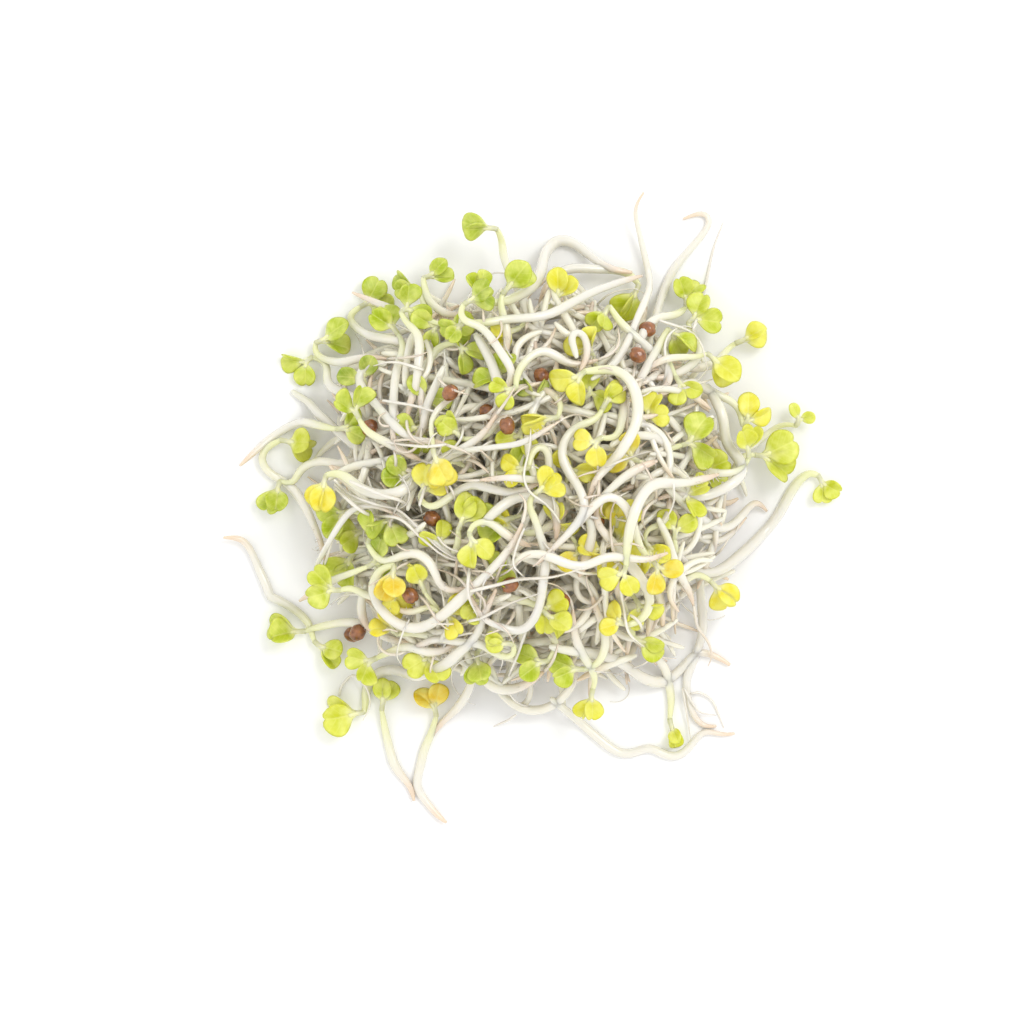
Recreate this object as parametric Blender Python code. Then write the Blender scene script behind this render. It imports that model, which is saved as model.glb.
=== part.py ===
"""A small heap of mixed salad sprouts, as turned out of their tub onto a table.

Each sprout has a pale stem that ends in a root at one end and in a pair of seed leaves at the other.
The visible sprouts follow routes drawn in plan, in millimetres from the middle of the heap, and the
rest fill the heap by a seeded rule. Their heights come from the dome of the heap, and then all of
them are eased apart until each lies clear of the others. Stems that lie on each other are joined in
bundles where they touch. The lowest stems are pressed flat against the table at height zero.
"""

import collections
import math

import bmesh
import bpy
import numpy as np
from mathutils import Matrix

MM = 0.001
TINY = 1e-6  # no distance

HEAP_RADIUS = 30.0  # of the dome, in plan
HEAP_HEIGHT = 19.0  # nominal height of the dome before the sprouts are eased apart
DOME_POWER = 0.6  # below 1 makes the shoulders of the heap fuller
PLAN_CENTRE = (0.0, -2.5)  # the middle of the outline, which becomes the origin

STEM_RADIUS = 0.62
THICK_STEM = 0.74
THIN_STEM = 0.42
CUT_END = 0.85  # share of the radius left at the end of a stem that has no leaves
LEAF_NECK = 0.78  # share of the radius left where the leaves begin
ROOT_TIP = 0.5  # share of the radius left at the root's tip

LEAF_START = 0.85  # from a stem's end to where its leaves start
LEAF_RISE = 0.12  # slope of a pair of leaves, out of the heap
FOLDED_PITCH = 20  # degrees that the leaves of a closed pair lie above and below the middle
PITCH_LOSS = 0.3  # degrees of that lost for each degree that the pair opens
PAIR_PITCH = 6  # degrees that the whole pair looks up
STALK_WIDTH = 0.8  # of a seed leaf, where it leaves the stem
BLADE_THICKNESS = 0.85
BLADE_CUP = 0.45  # rise of a blade's edges, for a length of 1
BLADE_ARCH = 0.14  # fall of its tip
BLADE_EDGE = [(0.34, -0.4), (0.7, -0.5), (0.97, -0.28), (0.85, 0), (0.97, 0.28), (0.7, 0.5), (0.34, 0.4)]
BLADE_FACES = [(0, 1, 8), (1, 7, 8), (1, 2, 7), (2, 6, 7), (2, 4, 6), (2, 3, 4), (4, 5, 6)]
BURIED_EDGE = [(0.5, -0.48), (0.97, -0.3), (0.88, 0), (0.97, 0.3), (0.5, 0.48)]
BURIED_FACES = [(0, 1, 6), (1, 5, 6), (1, 2, 3), (1, 3, 5), (3, 4, 5)]
BURIED_LEVEL = 0.9  # leaves that lie deeper are fused to their stem
BURIED_ROOT = 0.2  # how deep they are sunk into its end

SEED_RADIUS = 1.15
SEED_FORM = (1.0, 0.86, 0.78)  # its three half axes, for a radius of 1

FILLERS = 14  # sprouts inside the heap, placed by rule
FILLER_SEED = 11

STEP = 0.8  # spacing of the points that a stem is eased with
GAP = 0.42  # left between bodies
FLOOR_SHARE = 0.72  # height of a lying stem's axis, as a share of its radius
LEAF_FLOOR = 0.62  # the same for the balls of a leaf
LEAF_BALL = 0.28  # radius of the balls that keep a leaf's place free, as a share of its length
LEAF_BALLS = [(0.25, 0), (0.55, 0.22), (0.55, -0.22), (0.8, 0.14), (0.8, -0.14)]
LEAF_SHARE = 0.75  # of a leaf's own pushes in how it moves with its stem
LUMP_PULL = (1.0, 0.85, 0.6, 0.35, 0.15)  # how far a moved leaf takes the points of its stem along
ROUNDS = 220  # of easing
LOOK_EVERY = 12  # rounds, for which points are near each other
LOOK_AROUND = 1.2  # further than the gap
PLAN_GIVE = 0.35  # how much of a push may go sideways
SHARING = 6  # times that a push is shared with the points beside it
PUSH_GAIN = 2.4  # makes up for what sharing takes away
CROWDING = 0.7  # power by which several pushes on a point are averaged
OWN_REACH = 9  # points along a stem that may be near each other
LEAF_REACH = 6  # points of its own stem that a leaf may be near

BUNDLE_LIMIT = 12  # most sprouts in a bundle
WELD_REACH = 6.0  # furthest that two stems are apart before they are joined
WELD_DEPTH = 0.55  # distance of two joined stems, as a share of their radii added
WELD_ZONE = 9  # points around a joint where the two may touch
WELD_MARGIN = 2  # points at a stem's ends that are never joined

TUBE_SIDES = 4
CORNER_REACH = 1.14  # of a square tube's corners, for the width of a round one
CHORD_ERROR = 0.36  # most that a coarse tube may leave the smooth line
FLAT_ANGLE = math.radians(3)  # faces closer to one plane than this become one
STRAIGHT_ANGLE = math.radians(20)  # edges in line closer than this become one

Sprout = collections.namedtuple("Sprout", "route leaf level lift radius")


def sprout(route, leaf=None, level=(1.0, 0.9), lift=(0, 0), radius=STEM_RADIUS):
    """One sprout, from its leaves to its root.

    route: points in plan. leaf: (x, y) of the pair's middle, length of a leaf, and half the angle
    between the two. level: depth in the heap at both ends, where 1 is the surface and 0 the table.
    lift: how far each end stands up out of the heap.
    """
    return Sprout(route, leaf, level, lift, radius)


BED = [
    sprout([(-13, -2.5), (0, -2.5), (13, -2.5)], level=(0, 0)),
    sprout([(-15, 9), (-6, 5), (3, 8), (14, 4)], level=(0.1, 0)),
    sprout([(12, -16), (4, -12), (-5, -15), (-14, -10)], level=(0.1, 0)),
    sprout([(-9, -17), (-12, -6), (-7, 6), (-10, 17)], level=(0.05, 0.1)),
    sprout([(9, 15), (12, 4), (7, -7), (11, -15)], level=(0.1, 0.05)),
]

CROWN = [
    sprout([(0.6, -0.9), (-0.1, -2), (0.9, -4), (1.5, -7), (1.8, -11), (1.4, -14.6), (0, -17.2),
            (-2.2, -18.3), (-4.3, -17.6), (-5.8, -16), (-7.2, -13.2)], (2.9, 0.6, 3.6, 12), (1, 0.97)),
    sprout([(-1.7, -9.6), (-1.1, -8.5), (1, -8.1), (3, -8.5), (5, -9.5), (7.2, -9.7), (9.5, -8.9),
            (12, -8.6), (14.5, -8.9), (17.4, -8.7)], None, (1.07, 1.07)),
    sprout([(9.2, 9.8), (8.4, 8.4), (6.3, 7.6), (4.9, 6.1), (4.2, 4), (4.6, 1.9), (6, 0.2),
            (7.1, -1.6), (6.9, -3.3), (5, -5.6), (3, -7.6), (1.2, -9.4)], (10.2, 11.6, 3, 20), (0.9, 1.02)),
    sprout([(6.8, 14.3), (8.6, 14.2), (10.7, 13.3), (12.4, 11.7), (13.4, 9.6), (13, 7.4),
            (11.2, 4.9), (9, 2.3), (7.9, 0), (7.4, -1.8)], (5.2, 12.6, 3.6, 38), (1.02, 0.95),
           radius=THICK_STEM),
    sprout([(-1.1, 12.4), (-0.9, 14), (0, 15.8), (1.6, 17), (3.8, 16.3), (6, 15.2), (8.5, 15.6)],
           (-2.7, 11.9, 2.6, 52), (1.03, 0.9)),
    sprout([(5.8, 15.6), (5.5, 17.4), (5.2, 18.7), (6.1, 19.5), (7.2, 18.5), (7.3, 16.5), (6.4, 14.6)],
           None, (0.95, 1.0), radius=0.55),
    sprout([(12, -9.8), (12, -8.5), (12.4, -5.5), (13, -3), (14.2, -0.7), (15.7, 0.6), (18, 0.5),
            (20.5, 0.8), (23.8, 1.8)], (11.3, -11.4, 3.2, 50), (1.1, 1.0), radius=THICK_STEM),
    sprout([(15.9, -9), (14.3, -7.8), (13.3, -5.8), (12.6, -3.3), (11.3, -1.7), (9.6, -1.3),
            (7.6, -2.6), (5.8, -4.8), (3.5, -7)], (16.9, -10.6, 3.4, 45), (1, 0.98)),
    sprout([(12.3, -17), (14.2, -16.2), (15.2, -14), (14.8, -11.8), (13.4, -10), (11.6, -8.2),
            (10.3, -6.3), (9.2, -4), (8.8, -1.8)], (10.6, -16.4, 3, 35), (1, 0.9), radius=THICK_STEM),
    sprout([(-13.2, -1), (-12.8, -2.1), (-11.3, -2.5), (-9.7, -1.5), (-7.8, -0.7), (-4.5, -0.3),
            (-1.5, -0.4), (2, 0.3)], (-11.9, 0.9, 3.2, 34), (1, 0.88)),
    sprout([(-7.4, -5.4), (-7.1, -4.3), (-6, -4.1), (-4.3, -5), (-2, -6.2), (0.3, -7.2)],
           (-6.5, -7.3, 3.4, 30), (1, 0.9)),
    sprout([(-5.3, -4.4), (-4.2, -3), (-2.5, -1.9), (0, -1.5), (2.2, -1.4), (3.3, -2.3), (3.6, -4),
            (3.5, -6.5)], None, (0.9, 0.93), radius=THICK_STEM),
    sprout([(-8.5, -5.2), (-8.6, -7), (-10, -8.8), (-13, -9.2)], (-7.4, -3, 3.8, 12), (0.92, 0.7)),
    sprout([(0.1, 2.4), (0.4, 4.2), (1.5, 5.3), (2.6, 4.4), (3.5, 2.5), (4.5, -0.5)],
           (-1.7, 2.1, 3, 35), (0.95, 0.85), radius=0.55),
    sprout([(8.9, 6.2), (10.6, 6.3), (11.3, 8.2), (12, 10.4), (11.5, 12.8)], (7.6, 5, 3, 52), (1, 0.85)),
    sprout([(3.7, 8.7), (4.3, 10.4), (3.2, 12), (0.8, 12.6)], (1.9, 8.6, 3.8, 14), (0.97, 0.85), radius=0.55),
    sprout([(8.6, -1), (10.3, 0.3), (12, 1.5), (14, 2.6), (15.9, 3.3)], None, (0.95, 1.05)),
    sprout([(-9.5, 3.8), (-7, 4.5), (-4, 5), (-1.2, 5.4), (1.3, 6.7), (3.9, 8.2)], None, (1.0, 1.08),
           radius=THIN_STEM),
    sprout([(10.8, 4.6), (12.8, 6), (15.3, 6.4), (17.2, 5.4), (17.5, 3.4), (16.9, 1.3), (17.8, -0.8),
            (19.3, -3), (20.3, -5.2), (22.5, -6.8), (25, -6), (27.2, -3.6)], None, (0.97, 0.3)),
    sprout([(-11.3, 5.6), (-10.7, 7.5), (-9.9, 9.8), (-8, 12)], (-10.6, 3.4, 4, 5), (1.05, 0.9),
           radius=THIN_STEM),
    sprout([(3.2, 0.9), (0.5, 1), (-3, 1.1), (-5.9, 0.9)], None, (0.95, 1.05), radius=0.5),
    sprout([(6.4, -3), (7.4, -6), (7.2, -8.4), (6.3, -11)], None, (0.85, 0.88), radius=THICK_STEM),
    sprout([(1.8, -15.2), (0.3, -14), (-2, -13.4), (-4.5, -12)], (3.2, -16.5, 3.4, 10), (0.9, 0.8)),
]

LEFT_SIDE = [
    sprout([(-25, 1.6), (-23.6, 1.9), (-22, 1), (-20.4, -0.3), (-18, -0.9), (-15.5, -0.4),
            (-13, 1.3), (-10.5, 3.4), (-8, 5), (-5.5, 6.7), (-3.8, 9)], (-25.6, -0.5, 3.6, 10),
           (1.0, 0.95), (2, 0), THICK_STEM),
    sprout([(-23.7, 7.3), (-26.5, 7.6), (-29.5, 7.3), (-32, 6.4), (-34, 4.7), (-35.9, 2.8)],
           (-22.2, 7.5, 3, 35), (1.0, 0), (0, 3)),
    sprout([(-21, 8.7), (-20.2, 7.2), (-18.2, 5.8), (-15.6, 4.4), (-13, 3)], (-22, 10.5, 3.4, 38),
           (1, 0.9)),
    sprout([(-30.8, 6), (-32.8, 4.9), (-33.3, 3.2), (-32, 1.6), (-29.8, 0.3), (-28, -1.9), (-27, -4),
            (-25.9, -6.5), (-25.4, -9)], (-28.7, 5.5, 3.6, 8), (0.5, 0.4), (1.5, 0)),
    sprout([(-31, 0.9), (-29.4, 0.4), (-28.7, 2), (-27.6, 3.2), (-25.6, 3.5), (-23.4, 2.9),
            (-21, 3.6), (-18.5, 5)], (-31.5, -1, 3.4, 8), (0.2, 0.75), (1.2, 0)),
    sprout([(-19.9, -6.8), (-19.3, -8), (-17.8, -8.9), (-15.5, -9.2), (-13.2, -10), (-11.3, -12),
            (-9.3, -13), (-7, -12.3)], (-18.8, -5.2, 3.4, 38), (0.9, 0.92)),
    sprout([(-16.5, -9.8), (-18.2, -10.3), (-19.3, -12.3), (-18.3, -14.6), (-16.3, -16.7),
            (-13.8, -17.4), (-11, -16.1), (-7.5, -13), (-4.5, -10), (-1.8, -7), (-0.7, -4.4)],
           (-17, -12, 3.6, 14), (0.97, 1.05), radius=THICK_STEM),
    sprout([(-12.9, -12.9), (-12.2, -14), (-11.3, -14.8), (-10.9, -17), (-11.4, -20)],
           (-13.6, -11, 3.2, 5), (0.9, 0.8), radius=0.5),
    sprout([(-10.9, -15.8), (-12.2, -14.6), (-13.8, -15), (-15.6, -15.3), (-17.4, -14.6)],
           (-9.5, -15.9, 3.2, 50), (0.95, 0.9), radius=0.5),
    sprout([(-16.2, -18.2), (-14, -18), (-11, -18.6), (-8, -17)], (-17.6, -16.9, 3, 40), (0.9, 0.85)),
    sprout([(-18.9, -21.2), (-17, -20.3), (-14.8, -19.6), (-12.5, -20.3), (-10.2, -20.4), (-8, -18.8)],
           (-20.5, -21.9, 3.2, 38), (0.9, 0.85), (1, 0)),
    sprout([(-1.9, -18.9), (-1.6, -20.1), (-2.7, -21), (-4.3, -20.2), (-6.2, -19.1), (-9, -18.9),
            (-12, -19.2), (-15, -20.3)], (-3.1, -18.8, 2.6, 15), (1, 0.9)),
    sprout([(-23.4, -12.7), (-21.8, -12.1), (-19.9, -12.8), (-17.8, -13.6), (-15, -13)],
           (-25.5, -12.3, 3.6, 34), (0.85, 0.75), (1.5, 0)),
    sprout([(-26, -10), (-25.3, -8.3), (-24.3, -6), (-22.8, -4), (-20.8, -2.9), (-18.5, -2.8),
            (-16.2, -3.8)], None, (1.0, 0.95), radius=THIN_STEM),
    sprout([(-26.3, -16.8), (-24.2, -16), (-22.2, -16.4), (-20, -17.6), (-17, -18.9), (-13.5, -19.5)],
           (-28.3, -16.8, 4, 12), (0.3, 0.6), (1.5, 0)),
    sprout([(-28.4, -20.2), (-29.9, -18.3), (-31.1, -16), (-32.3, -13), (-33.7, -10), (-34.7, -7.6),
            (-35.8, -6.3), (-38, -6.2)], (-26.8, -21.4, 3.4, 20), (0, 0), (0.8, 1.5)),
    sprout([(-20.3, -12.6), (-21, -14.5), (-20.5, -16.5), (-19.2, -17.9)], None, (0.7, 0.75)),
    sprout([(-20.3, -28), (-19.6, -26.4), (-17.8, -25), (-15, -24.1), (-12, -22.7), (-9.2, -20.5),
            (-7, -18), (-5.3, -15.3), (-4, -12.6)], (-23.3, -28.2, 4.4, 10), (0.8, 0.98), (1, 0), THICK_STEM),
    sprout([(-18.3, -27.6), (-17.9, -30), (-17.2, -33), (-16.4, -36), (-15.2, -39.3)],
           (-17.9, -25.8, 3, 15), (0.3, 0), (1, 0.6)),
    sprout([(-12.1, -28.5), (-12.9, -31), (-13.2, -34), (-12.7, -37.3), (-11.8, -40.3), (-10.2, -41.8)],
           (-12.8, -26.1, 3.4, 25), (0.3, 0), (1.2, 0.8)),
    sprout([(-6.7, -21.3), (-6.7, -23.6), (-7.6, -25.6), (-9, -28), (-11.1, -30.9)], None, (0.9, 0.1)),
    sprout([(-22, -3), (-19.5, -3.6), (-16.5, -5), (-13.5, -7), (-10.5, -8.8)], (-23.7, -3.6, 3.6, 32),
           (0.6, 0.7)),
    sprout([(-20.2, -5.2), (-17, -6), (-13, -6.5), (-9.5, -8)], (-22, -5.6, 3.4, 20), (0.5, 0.7)),
    sprout([(-22.2, -7.6), (-19.5, -7), (-16, -7.5), (-12.5, -9)], (-23.2, -9, 3.4, 22), (0.6, 0.6)),
    sprout([(-24, 0.5), (-21.5, -1.6), (-19, -2.2), (-16, -3.2), (-13.5, -5), (-11, -7.3),
            (-8.5, -8.8), (-5.5, -9.2)], None, (0.8, 0.9), radius=THIN_STEM),
]

TOP_SIDE = [
    sprout([(-3.9, 32.2), (-3.2, 30.8), (-3.1, 28.8), (-2.3, 26.8), (-1, 24), (0.3, 20.5), (1, 17)],
           (-5.7, 32.4, 3.6, 5), (0.5, 0.8), (7, 0)),
    sprout([(-5.9, 23.5), (-4, 23), (-1.5, 23.8), (0.6, 25), (1.7, 27), (2, 29), (3.2, 30.7),
            (4.8, 31), (6.6, 30), (8.3, 28.4), (10.5, 27.2), (13, 26.8)], (-6.5, 25.5, 2.8, 30),
           (0.9, 0.5), (2, 2), THICK_STEM),
    sprout([(-7.6, 20.8), (-4, 20.8), (0, 21), (2.8, 21.5), (5.5, 23), (8.5, 24.5), (11.5, 25.6),
            (14, 26.2)], (-9.4, 19.8, 2.8, 22), (1, 0.9), (1, 1)),
    sprout([(-8, 22.6), (-8.6, 21.2), (-7.8, 19.9), (-5.8, 19.2), (-4.1, 17.7), (-3, 15.8),
            (-2.4, 13.6), (-3.4, 10.5)], (-6.5, 23.3, 3.2, 14), (1.1, 0.97), (2, 0)),
    sprout([(-6.5, 18.8), (-5.5, 17.2), (-4.5, 15.3), (-4, 13), (-3.9, 10), (-5, 7)], None, (0.9, 0.9),
           radius=THICK_STEM),
    sprout([(-8.8, 17.9), (-10.5, 17.8), (-12, 16.5), (-12.6, 14), (-13.1, 11), (-13.3, 8)],
           (-7.4, 16.3, 3.2, 40), (0.82, 0.85)),
    sprout([(-15.9, 21.8), (-15.2, 20.4), (-13.8, 19.4), (-13.4, 17.4), (-13.8, 14.5), (-14.6, 11.5),
            (-15, 8.5)], (-14.2, 22.8, 3.2, 58), (1, 0.9), (1.5, 0)),
    sprout([(-20.8, 22.7), (-22.5, 21.5), (-22.6, 19.9), (-20.5, 19), (-18, 18.7), (-15, 18.2),
            (-11.5, 17.5)], (-19.2, 23.5, 3.2, 38), (0.9, 0.7), (1.5, 0)),
    sprout([(-26.5, 18.2), (-26.8, 17), (-25.3, 16), (-23, 15.6), (-20.5, 16.2), (-17.5, 16)],
           (-24.1, 18.7, 4, 28), (0.9, 0.75), (1.5, 0)),
    sprout([(-26.9, 16.4), (-25.3, 16.1), (-24.7, 14.8), (-25.2, 13.2), (-23.5, 12), (-20.5, 11),
            (-17.5, 10.4)], (-28.2, 15.3, 3.2, 46), (0.7, 0.8)),
    sprout([(-28.4, 13.8), (-27.3, 11.5), (-26.3, 9.3), (-24.8, 8), (-22.5, 6), (-20, 4.2), (-17, 3)],
           None, (0.5, 0.7)),
    sprout([(-13.7, 24.6), (-13.3, 22.8), (-12.4, 20.5), (-11.8, 18), (-11.5, 15)], (-15.3, 24.9, 2.8, 20),
           (0.85, 0.7), (1, 0)),
    sprout([(-13, 26.2), (-12.6, 24.5), (-11.4, 22.6), (-9.6, 21.4), (-7, 21.8)], (-11.7, 26.6, 3, 30),
           (0.9, 0.7), (1.5, 0)),
    sprout([(-3.3, 24), (-3.6, 22.4), (-2.8, 20.3), (-2.6, 18.2), (-2.9, 15.6)], (-1.3, 26, 4.4, 6),
           (1, 0.8), (2, 0)),
    sprout([(10.1, 22.6), (11.4, 20.6), (13.3, 18.8), (15.5, 17), (17.3, 14.8), (17.4, 13), (15.5, 11.6)],
           (8.8, 20.6, 2.8, 14), (0.82, 0.8), (1, 0)),
    sprout([(14, 25.6), (13, 26.9), (10, 27.3), (7, 27.4), (4.5, 27.2), (2.5, 25.6), (1.4, 23)],
           (12.9, 23.4, 4.2, 8), (0.7, 0.5), (1, 0)),
    sprout([(19.7, 22.5), (18.5, 21.5), (16.5, 21.3), (14.8, 20.4), (13.7, 18), (13.2, 15)],
           (19.9, 24.4, 3.2, 24), (0.8, 0.8), (1, 0)),
    sprout([(19.6, 20.2), (19.8, 18.6), (21, 17), (20.3, 15.3), (18, 13.8), (15, 13.6)],
           (21.3, 21.3, 3.4, 40), (0.9, 0.75), (1, 0)),
    sprout([(17.4, 19.8), (16.2, 17.8), (14.8, 15.3), (13.6, 13), (12.4, 10.5)], (18.7, 18.4, 3.4, 22),
           (0.8, 0.92)),
    sprout([(26, 18.1), (24.8, 17.4), (24.1, 16), (22.8, 15.2), (20.5, 14.8), (17.5, 15)],
           (27.9, 18.8, 3.4, 8), (0.9, 0.7), (2.5, 0)),
    sprout([(22.3, 16.7), (21, 16.2), (19, 16.2), (16.5, 15.8), (14, 14.2)], (24.3, 14.6, 4.2, 8),
           (1, 0.8), (1.5, 0), 0.5),
    sprout([(8.2, 13), (10.2, 14.7), (11.8, 16.6), (12.8, 19.3), (14.2, 22.6), (15.1, 25.6),
            (14.6, 28.8), (13.9, 31.8), (13.3, 34.8), (14.4, 36.8)], None, (1.0, 0.5), (0, 4), 0.5),
    sprout([(13.5, 14.6), (14.8, 17.8), (15.8, 21), (16.8, 24.2), (18.2, 27.3), (20.5, 30.1),
            (22.3, 32.3), (22.8, 33.9), (21.6, 34.4), (19.4, 33.6)], None, (0.7, 0), (0, 0.5), 0.55),
    sprout([(-16.2, 19.1), (-15.4, 17.4), (-16.2, 15), (-16.6, 12), (-16.7, 8.5), (-16.4, 4.5)],
           (-17.4, 20.7, 3.4, 20), (0.82, 0.95)),
    sprout([(-10.4, 15), (-11.5, 12.4), (-12.4, 9.8), (-13, 7), (-15, 5)], None, (0.97, 0.85)),
    sprout([(-17.6, 15.4), (-19.6, 15.4), (-21, 14.3), (-21, 12.8), (-19.5, 11), (-17.7, 8.9),
            (-15.5, 6.7), (-13, 5.2), (-10, 4.4)], None, (0.85, 1.0)),
    sprout([(-8.2, 6), (-6.5, 5.8), (-4.5, 7), (-3, 8.7), (-1.2, 9.6)], (-9.3, 7.2, 3, 12), (0.9, 0.85)),
]

RIGHT_SIDE = [
    sprout([(23, 13.4), (23.8, 10.5), (24.6, 7.5), (25, 4.5), (24.6, 1.8), (23.3, -0.2), (21, -1.2),
            (18.5, -0.7), (16, -1.5)], None, (0.85, 0.8), radius=THICK_STEM),
    sprout([(27, 7.2), (26.5, 9.3), (25.3, 11.2), (23.4, 12.8), (21, 13.4), (18, 12.4), (15.5, 11)],
           (28.4, 8.9, 3.6, 34), (0.8, 0.8), (2, 0)),
    sprout([(33.5, 7.7), (32.2, 8.1), (30.5, 7.3), (28.8, 6.3), (26.5, 6.2), (23.5, 6.8), (20.5, 8)],
           (33.9, 8.8, 2.2, 50), (0.4, 0.7), (2, 0), 0.5),
    sprout([(27, 3.7), (26.3, 2.9), (24.5, 2.8), (22, 3.5), (19, 4.5)], (26.9, 5.6, 3.2, 15), (0.9, 0.6),
           (1, 0), 0.55),
    sprout([(28.4, 3.2), (27, 3.2), (26.1, 2), (24.8, 0.8), (22.3, 0.4), (19.5, 1.6)], (31, 3, 4.4, 28),
           (0.5, 0.6), (1, 0)),
    sprout([(36.3, 1.5), (35.4, 2.1), (34.2, 1.3), (33.1, 0), (31.3, -3), (29, -6), (26, -8.8),
            (23.5, -10.4), (21, -10.1), (18.8, -8.4), (17, -6)], (37, 0.2, 2.6, 30), (0, 0.8), (1, 0),
           THICK_STEM),
    sprout([(17, 0), (19, -1.9), (21.5, -3.8), (24, -5.2), (25.8, -4.4), (27.5, -2.5), (28.6, -1.6),
            (30, -3)], None, (0.9, 0.2), (0, 0.5)),
    sprout([(19.2, 5.3), (16.5, 4.6), (13.5, 4), (10.5, 2.6)], (21.1, 5.9, 3.8, 44), (0.72, 0.75)),
    sprout([(20.2, 2.9), (17.5, 2.2), (14.5, 1), (11.5, -0.6)], (22.2, 2.9, 4, 24), (0.6, 0.75)),
    sprout([(11.5, -5.5), (11.2, -7.5), (10.8, -10), (9.5, -12.5)], (11.2, -3.4, 3.6, 10), (0.82, 0.8)),
    sprout([(14.4, -6.6), (14.6, -4.8), (16.2, -4.4), (17.6, -2.6), (17.9, -0.2)], (15.4, -7.9, 3, 26),
           (0.82, 0.8), radius=0.5),
    sprout([(16.2, -4.2), (17, -6.6), (17.8, -9), (19, -11), (20.2, -13), (20.6, -14.6)], None,
           (0.97, 0.8)),
    sprout([(22.8, -12.2), (21.5, -11.4), (19.5, -11.6), (17.5, -12.4), (15, -12.5)],
           (24.2, -13.8, 3.4, 18), (0.6, 0.7), (1.5, 0)),
    sprout([(19.8, -8.5), (21.2, -12), (21.7, -15), (21.8, -18), (20.8, -21), (19.3, -23.6),
            (19.5, -25.6), (21, -28), (23.4, -28.6)], None, (0.5, 0), (0, 0.4)),
    sprout([(3.5, -19.7), (6.5, -20.7), (9.5, -20.9), (12, -22), (14.5, -23.8), (17.2, -24.3),
            (19.6, -22.4), (21, -20.6), (23.4, -21), (25.2, -22.1)], None, (0.85, 0), (0, 0.6), THICK_STEM),
    sprout([(6.8, -22.4), (8.6, -21.8), (9.6, -19.5), (9.5, -16.5), (8.4, -13.5)], (4.9, -22.3, 3.4, 25),
           (0.82, 0.85)),
    sprout([(8, -25.1), (8.4, -23.6), (7.2, -21.5), (5.8, -18.5), (5.5, -15)], (7.7, -27, 3.2, 12),
           (0.8, 0.8), (1, 0)),
    sprout([(2.8, -26.2), (5.5, -28.4), (8.5, -31), (11.3, -33.1), (13.2, -33.1), (15.6, -32.2),
            (18, -32.7), (20.3, -31.9), (23, -31.6), (25.8, -30.7)], None, (0.5, 0), (0, 0.5)),
    sprout([(17.7, -29), (17.9, -27.2), (18.2, -25.4), (17.6, -22.8), (15.4, -20.6), (13, -18.6)],
           (18.3, -30.9, 2.6, 8), (0, 0.5), (0.8, 0)),
    sprout([(-4, -25), (-2, -26.9), (0.3, -27.8), (2.8, -27.3), (4.6, -25.8), (6, -23.4), (4.8, -20.5)],
           None, (0.4, 0.5)),
    sprout([(-6.4, -19.8), (-6.2, -22.3), (-5, -24.2), (-3, -25.1), (-0.5, -24.6), (2, -22.8)], None,
           (0.8, 0.7), radius=THICK_STEM),
    sprout([(2.2, -21.6), (3, -19.8), (2.3, -17.5), (2.6, -14)], (0.5, -21.8, 3.4, 30), (0.75, 0.75)),
    sprout([(-5.5, -19.7), (-4, -18), (-3.2, -16), (-3.6, -13.5)], (-5.4, -21.3, 3.2, 10), (0.7, 0.8)),
    sprout([(13.2, -18.6), (12.4, -16), (11.2, -13.2), (11, -10.5)], (14.9, -19.4, 3.4, 14), (0.82, 0.8)),
    sprout([(-1.6, -5.3), (0.6, -5.6), (3, -4.6), (5, -2.5)], (-3.2, -4.4, 3.2, 20), (0.82, 0.8)),
]

SEEDS = [  # (x, y, level) of each loose seed coat
    (-9.5, 10.8, 0.96), (-2.4, 7.9, 0.98), (13.2, 16.5, 0.95), (-2.3, -12.1, 0.9), (4.3, -14.3, 0.85),
    (-14.4, -13.8, 0.9), (-22, -18.4, 0.3),
]

DRAWN = BED + RIGHT_SIDE + LEFT_SIDE + TOP_SIDE + CROWN


def fillers():
    """Leafless sprouts under the drawn ones, bowed across the heap at random."""
    draw = np.random.default_rng(FILLER_SEED)
    made = []
    for _ in range(FILLERS):
        middle = draw.uniform(-13, 13, 2)
        turn, length, bow = draw.uniform(0, 2 * math.pi), draw.uniform(16, 28), draw.uniform(-6, 6)
        along = np.array([math.cos(turn), math.sin(turn)])
        across = np.array([-along[1], along[0]])
        shares = (-0.5, -0.2, 0.1, 0.5)
        route = [tuple(middle + along * length * t + across * bow * (1 - 4 * t * t)) for t in shares]
        made.append(sprout(route, level=tuple(draw.uniform(0.15, 0.7, 2)), radius=THICK_STEM))
    return made


def dome(plan):
    """Height of the heap's surface over points in plan."""
    far = (plan**2).sum(axis=-1) / HEAP_RADIUS**2
    return HEAP_HEIGHT * np.clip(1 - far, 0, 1) ** DOME_POWER


def smooth_line(points, step):
    """The Catmull-Rom curve through the points, resampled at an even spacing."""
    points = np.array(points, float)
    ends = np.vstack([2 * points[0] - points[1], points, 2 * points[-1] - points[-2]])
    t = np.linspace(0, 1, 12, endpoint=False)[:, None]
    pieces = []
    for a, b, c, d in zip(ends, ends[1:], ends[2:], ends[3:]):
        pieces.append(
            0.5 * (2 * b + (c - a) * t + (2 * a - 5 * b + 4 * c - d) * t**2
                   + (3 * b - a - 3 * c + d) * t**3)
        )
    line = np.vstack(pieces + [points[-1:]])
    along = np.concatenate([[0], np.cumsum(np.linalg.norm(np.diff(line, axis=0), axis=1))])
    count = max(4, round(along[-1] / step) + 1)
    even = np.linspace(0, along[-1], count)
    return np.stack([np.interp(even, along, line[:, k]) for k in range(line.shape[1])], axis=1)


def turned(vector, degrees):
    """A plan vector turned about the vertical."""
    a = math.radians(degrees)
    return np.array([
        vector[0] * math.cos(a) - vector[1] * math.sin(a),
        vector[0] * math.sin(a) + vector[1] * math.cos(a),
        vector[2],
    ])


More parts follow.
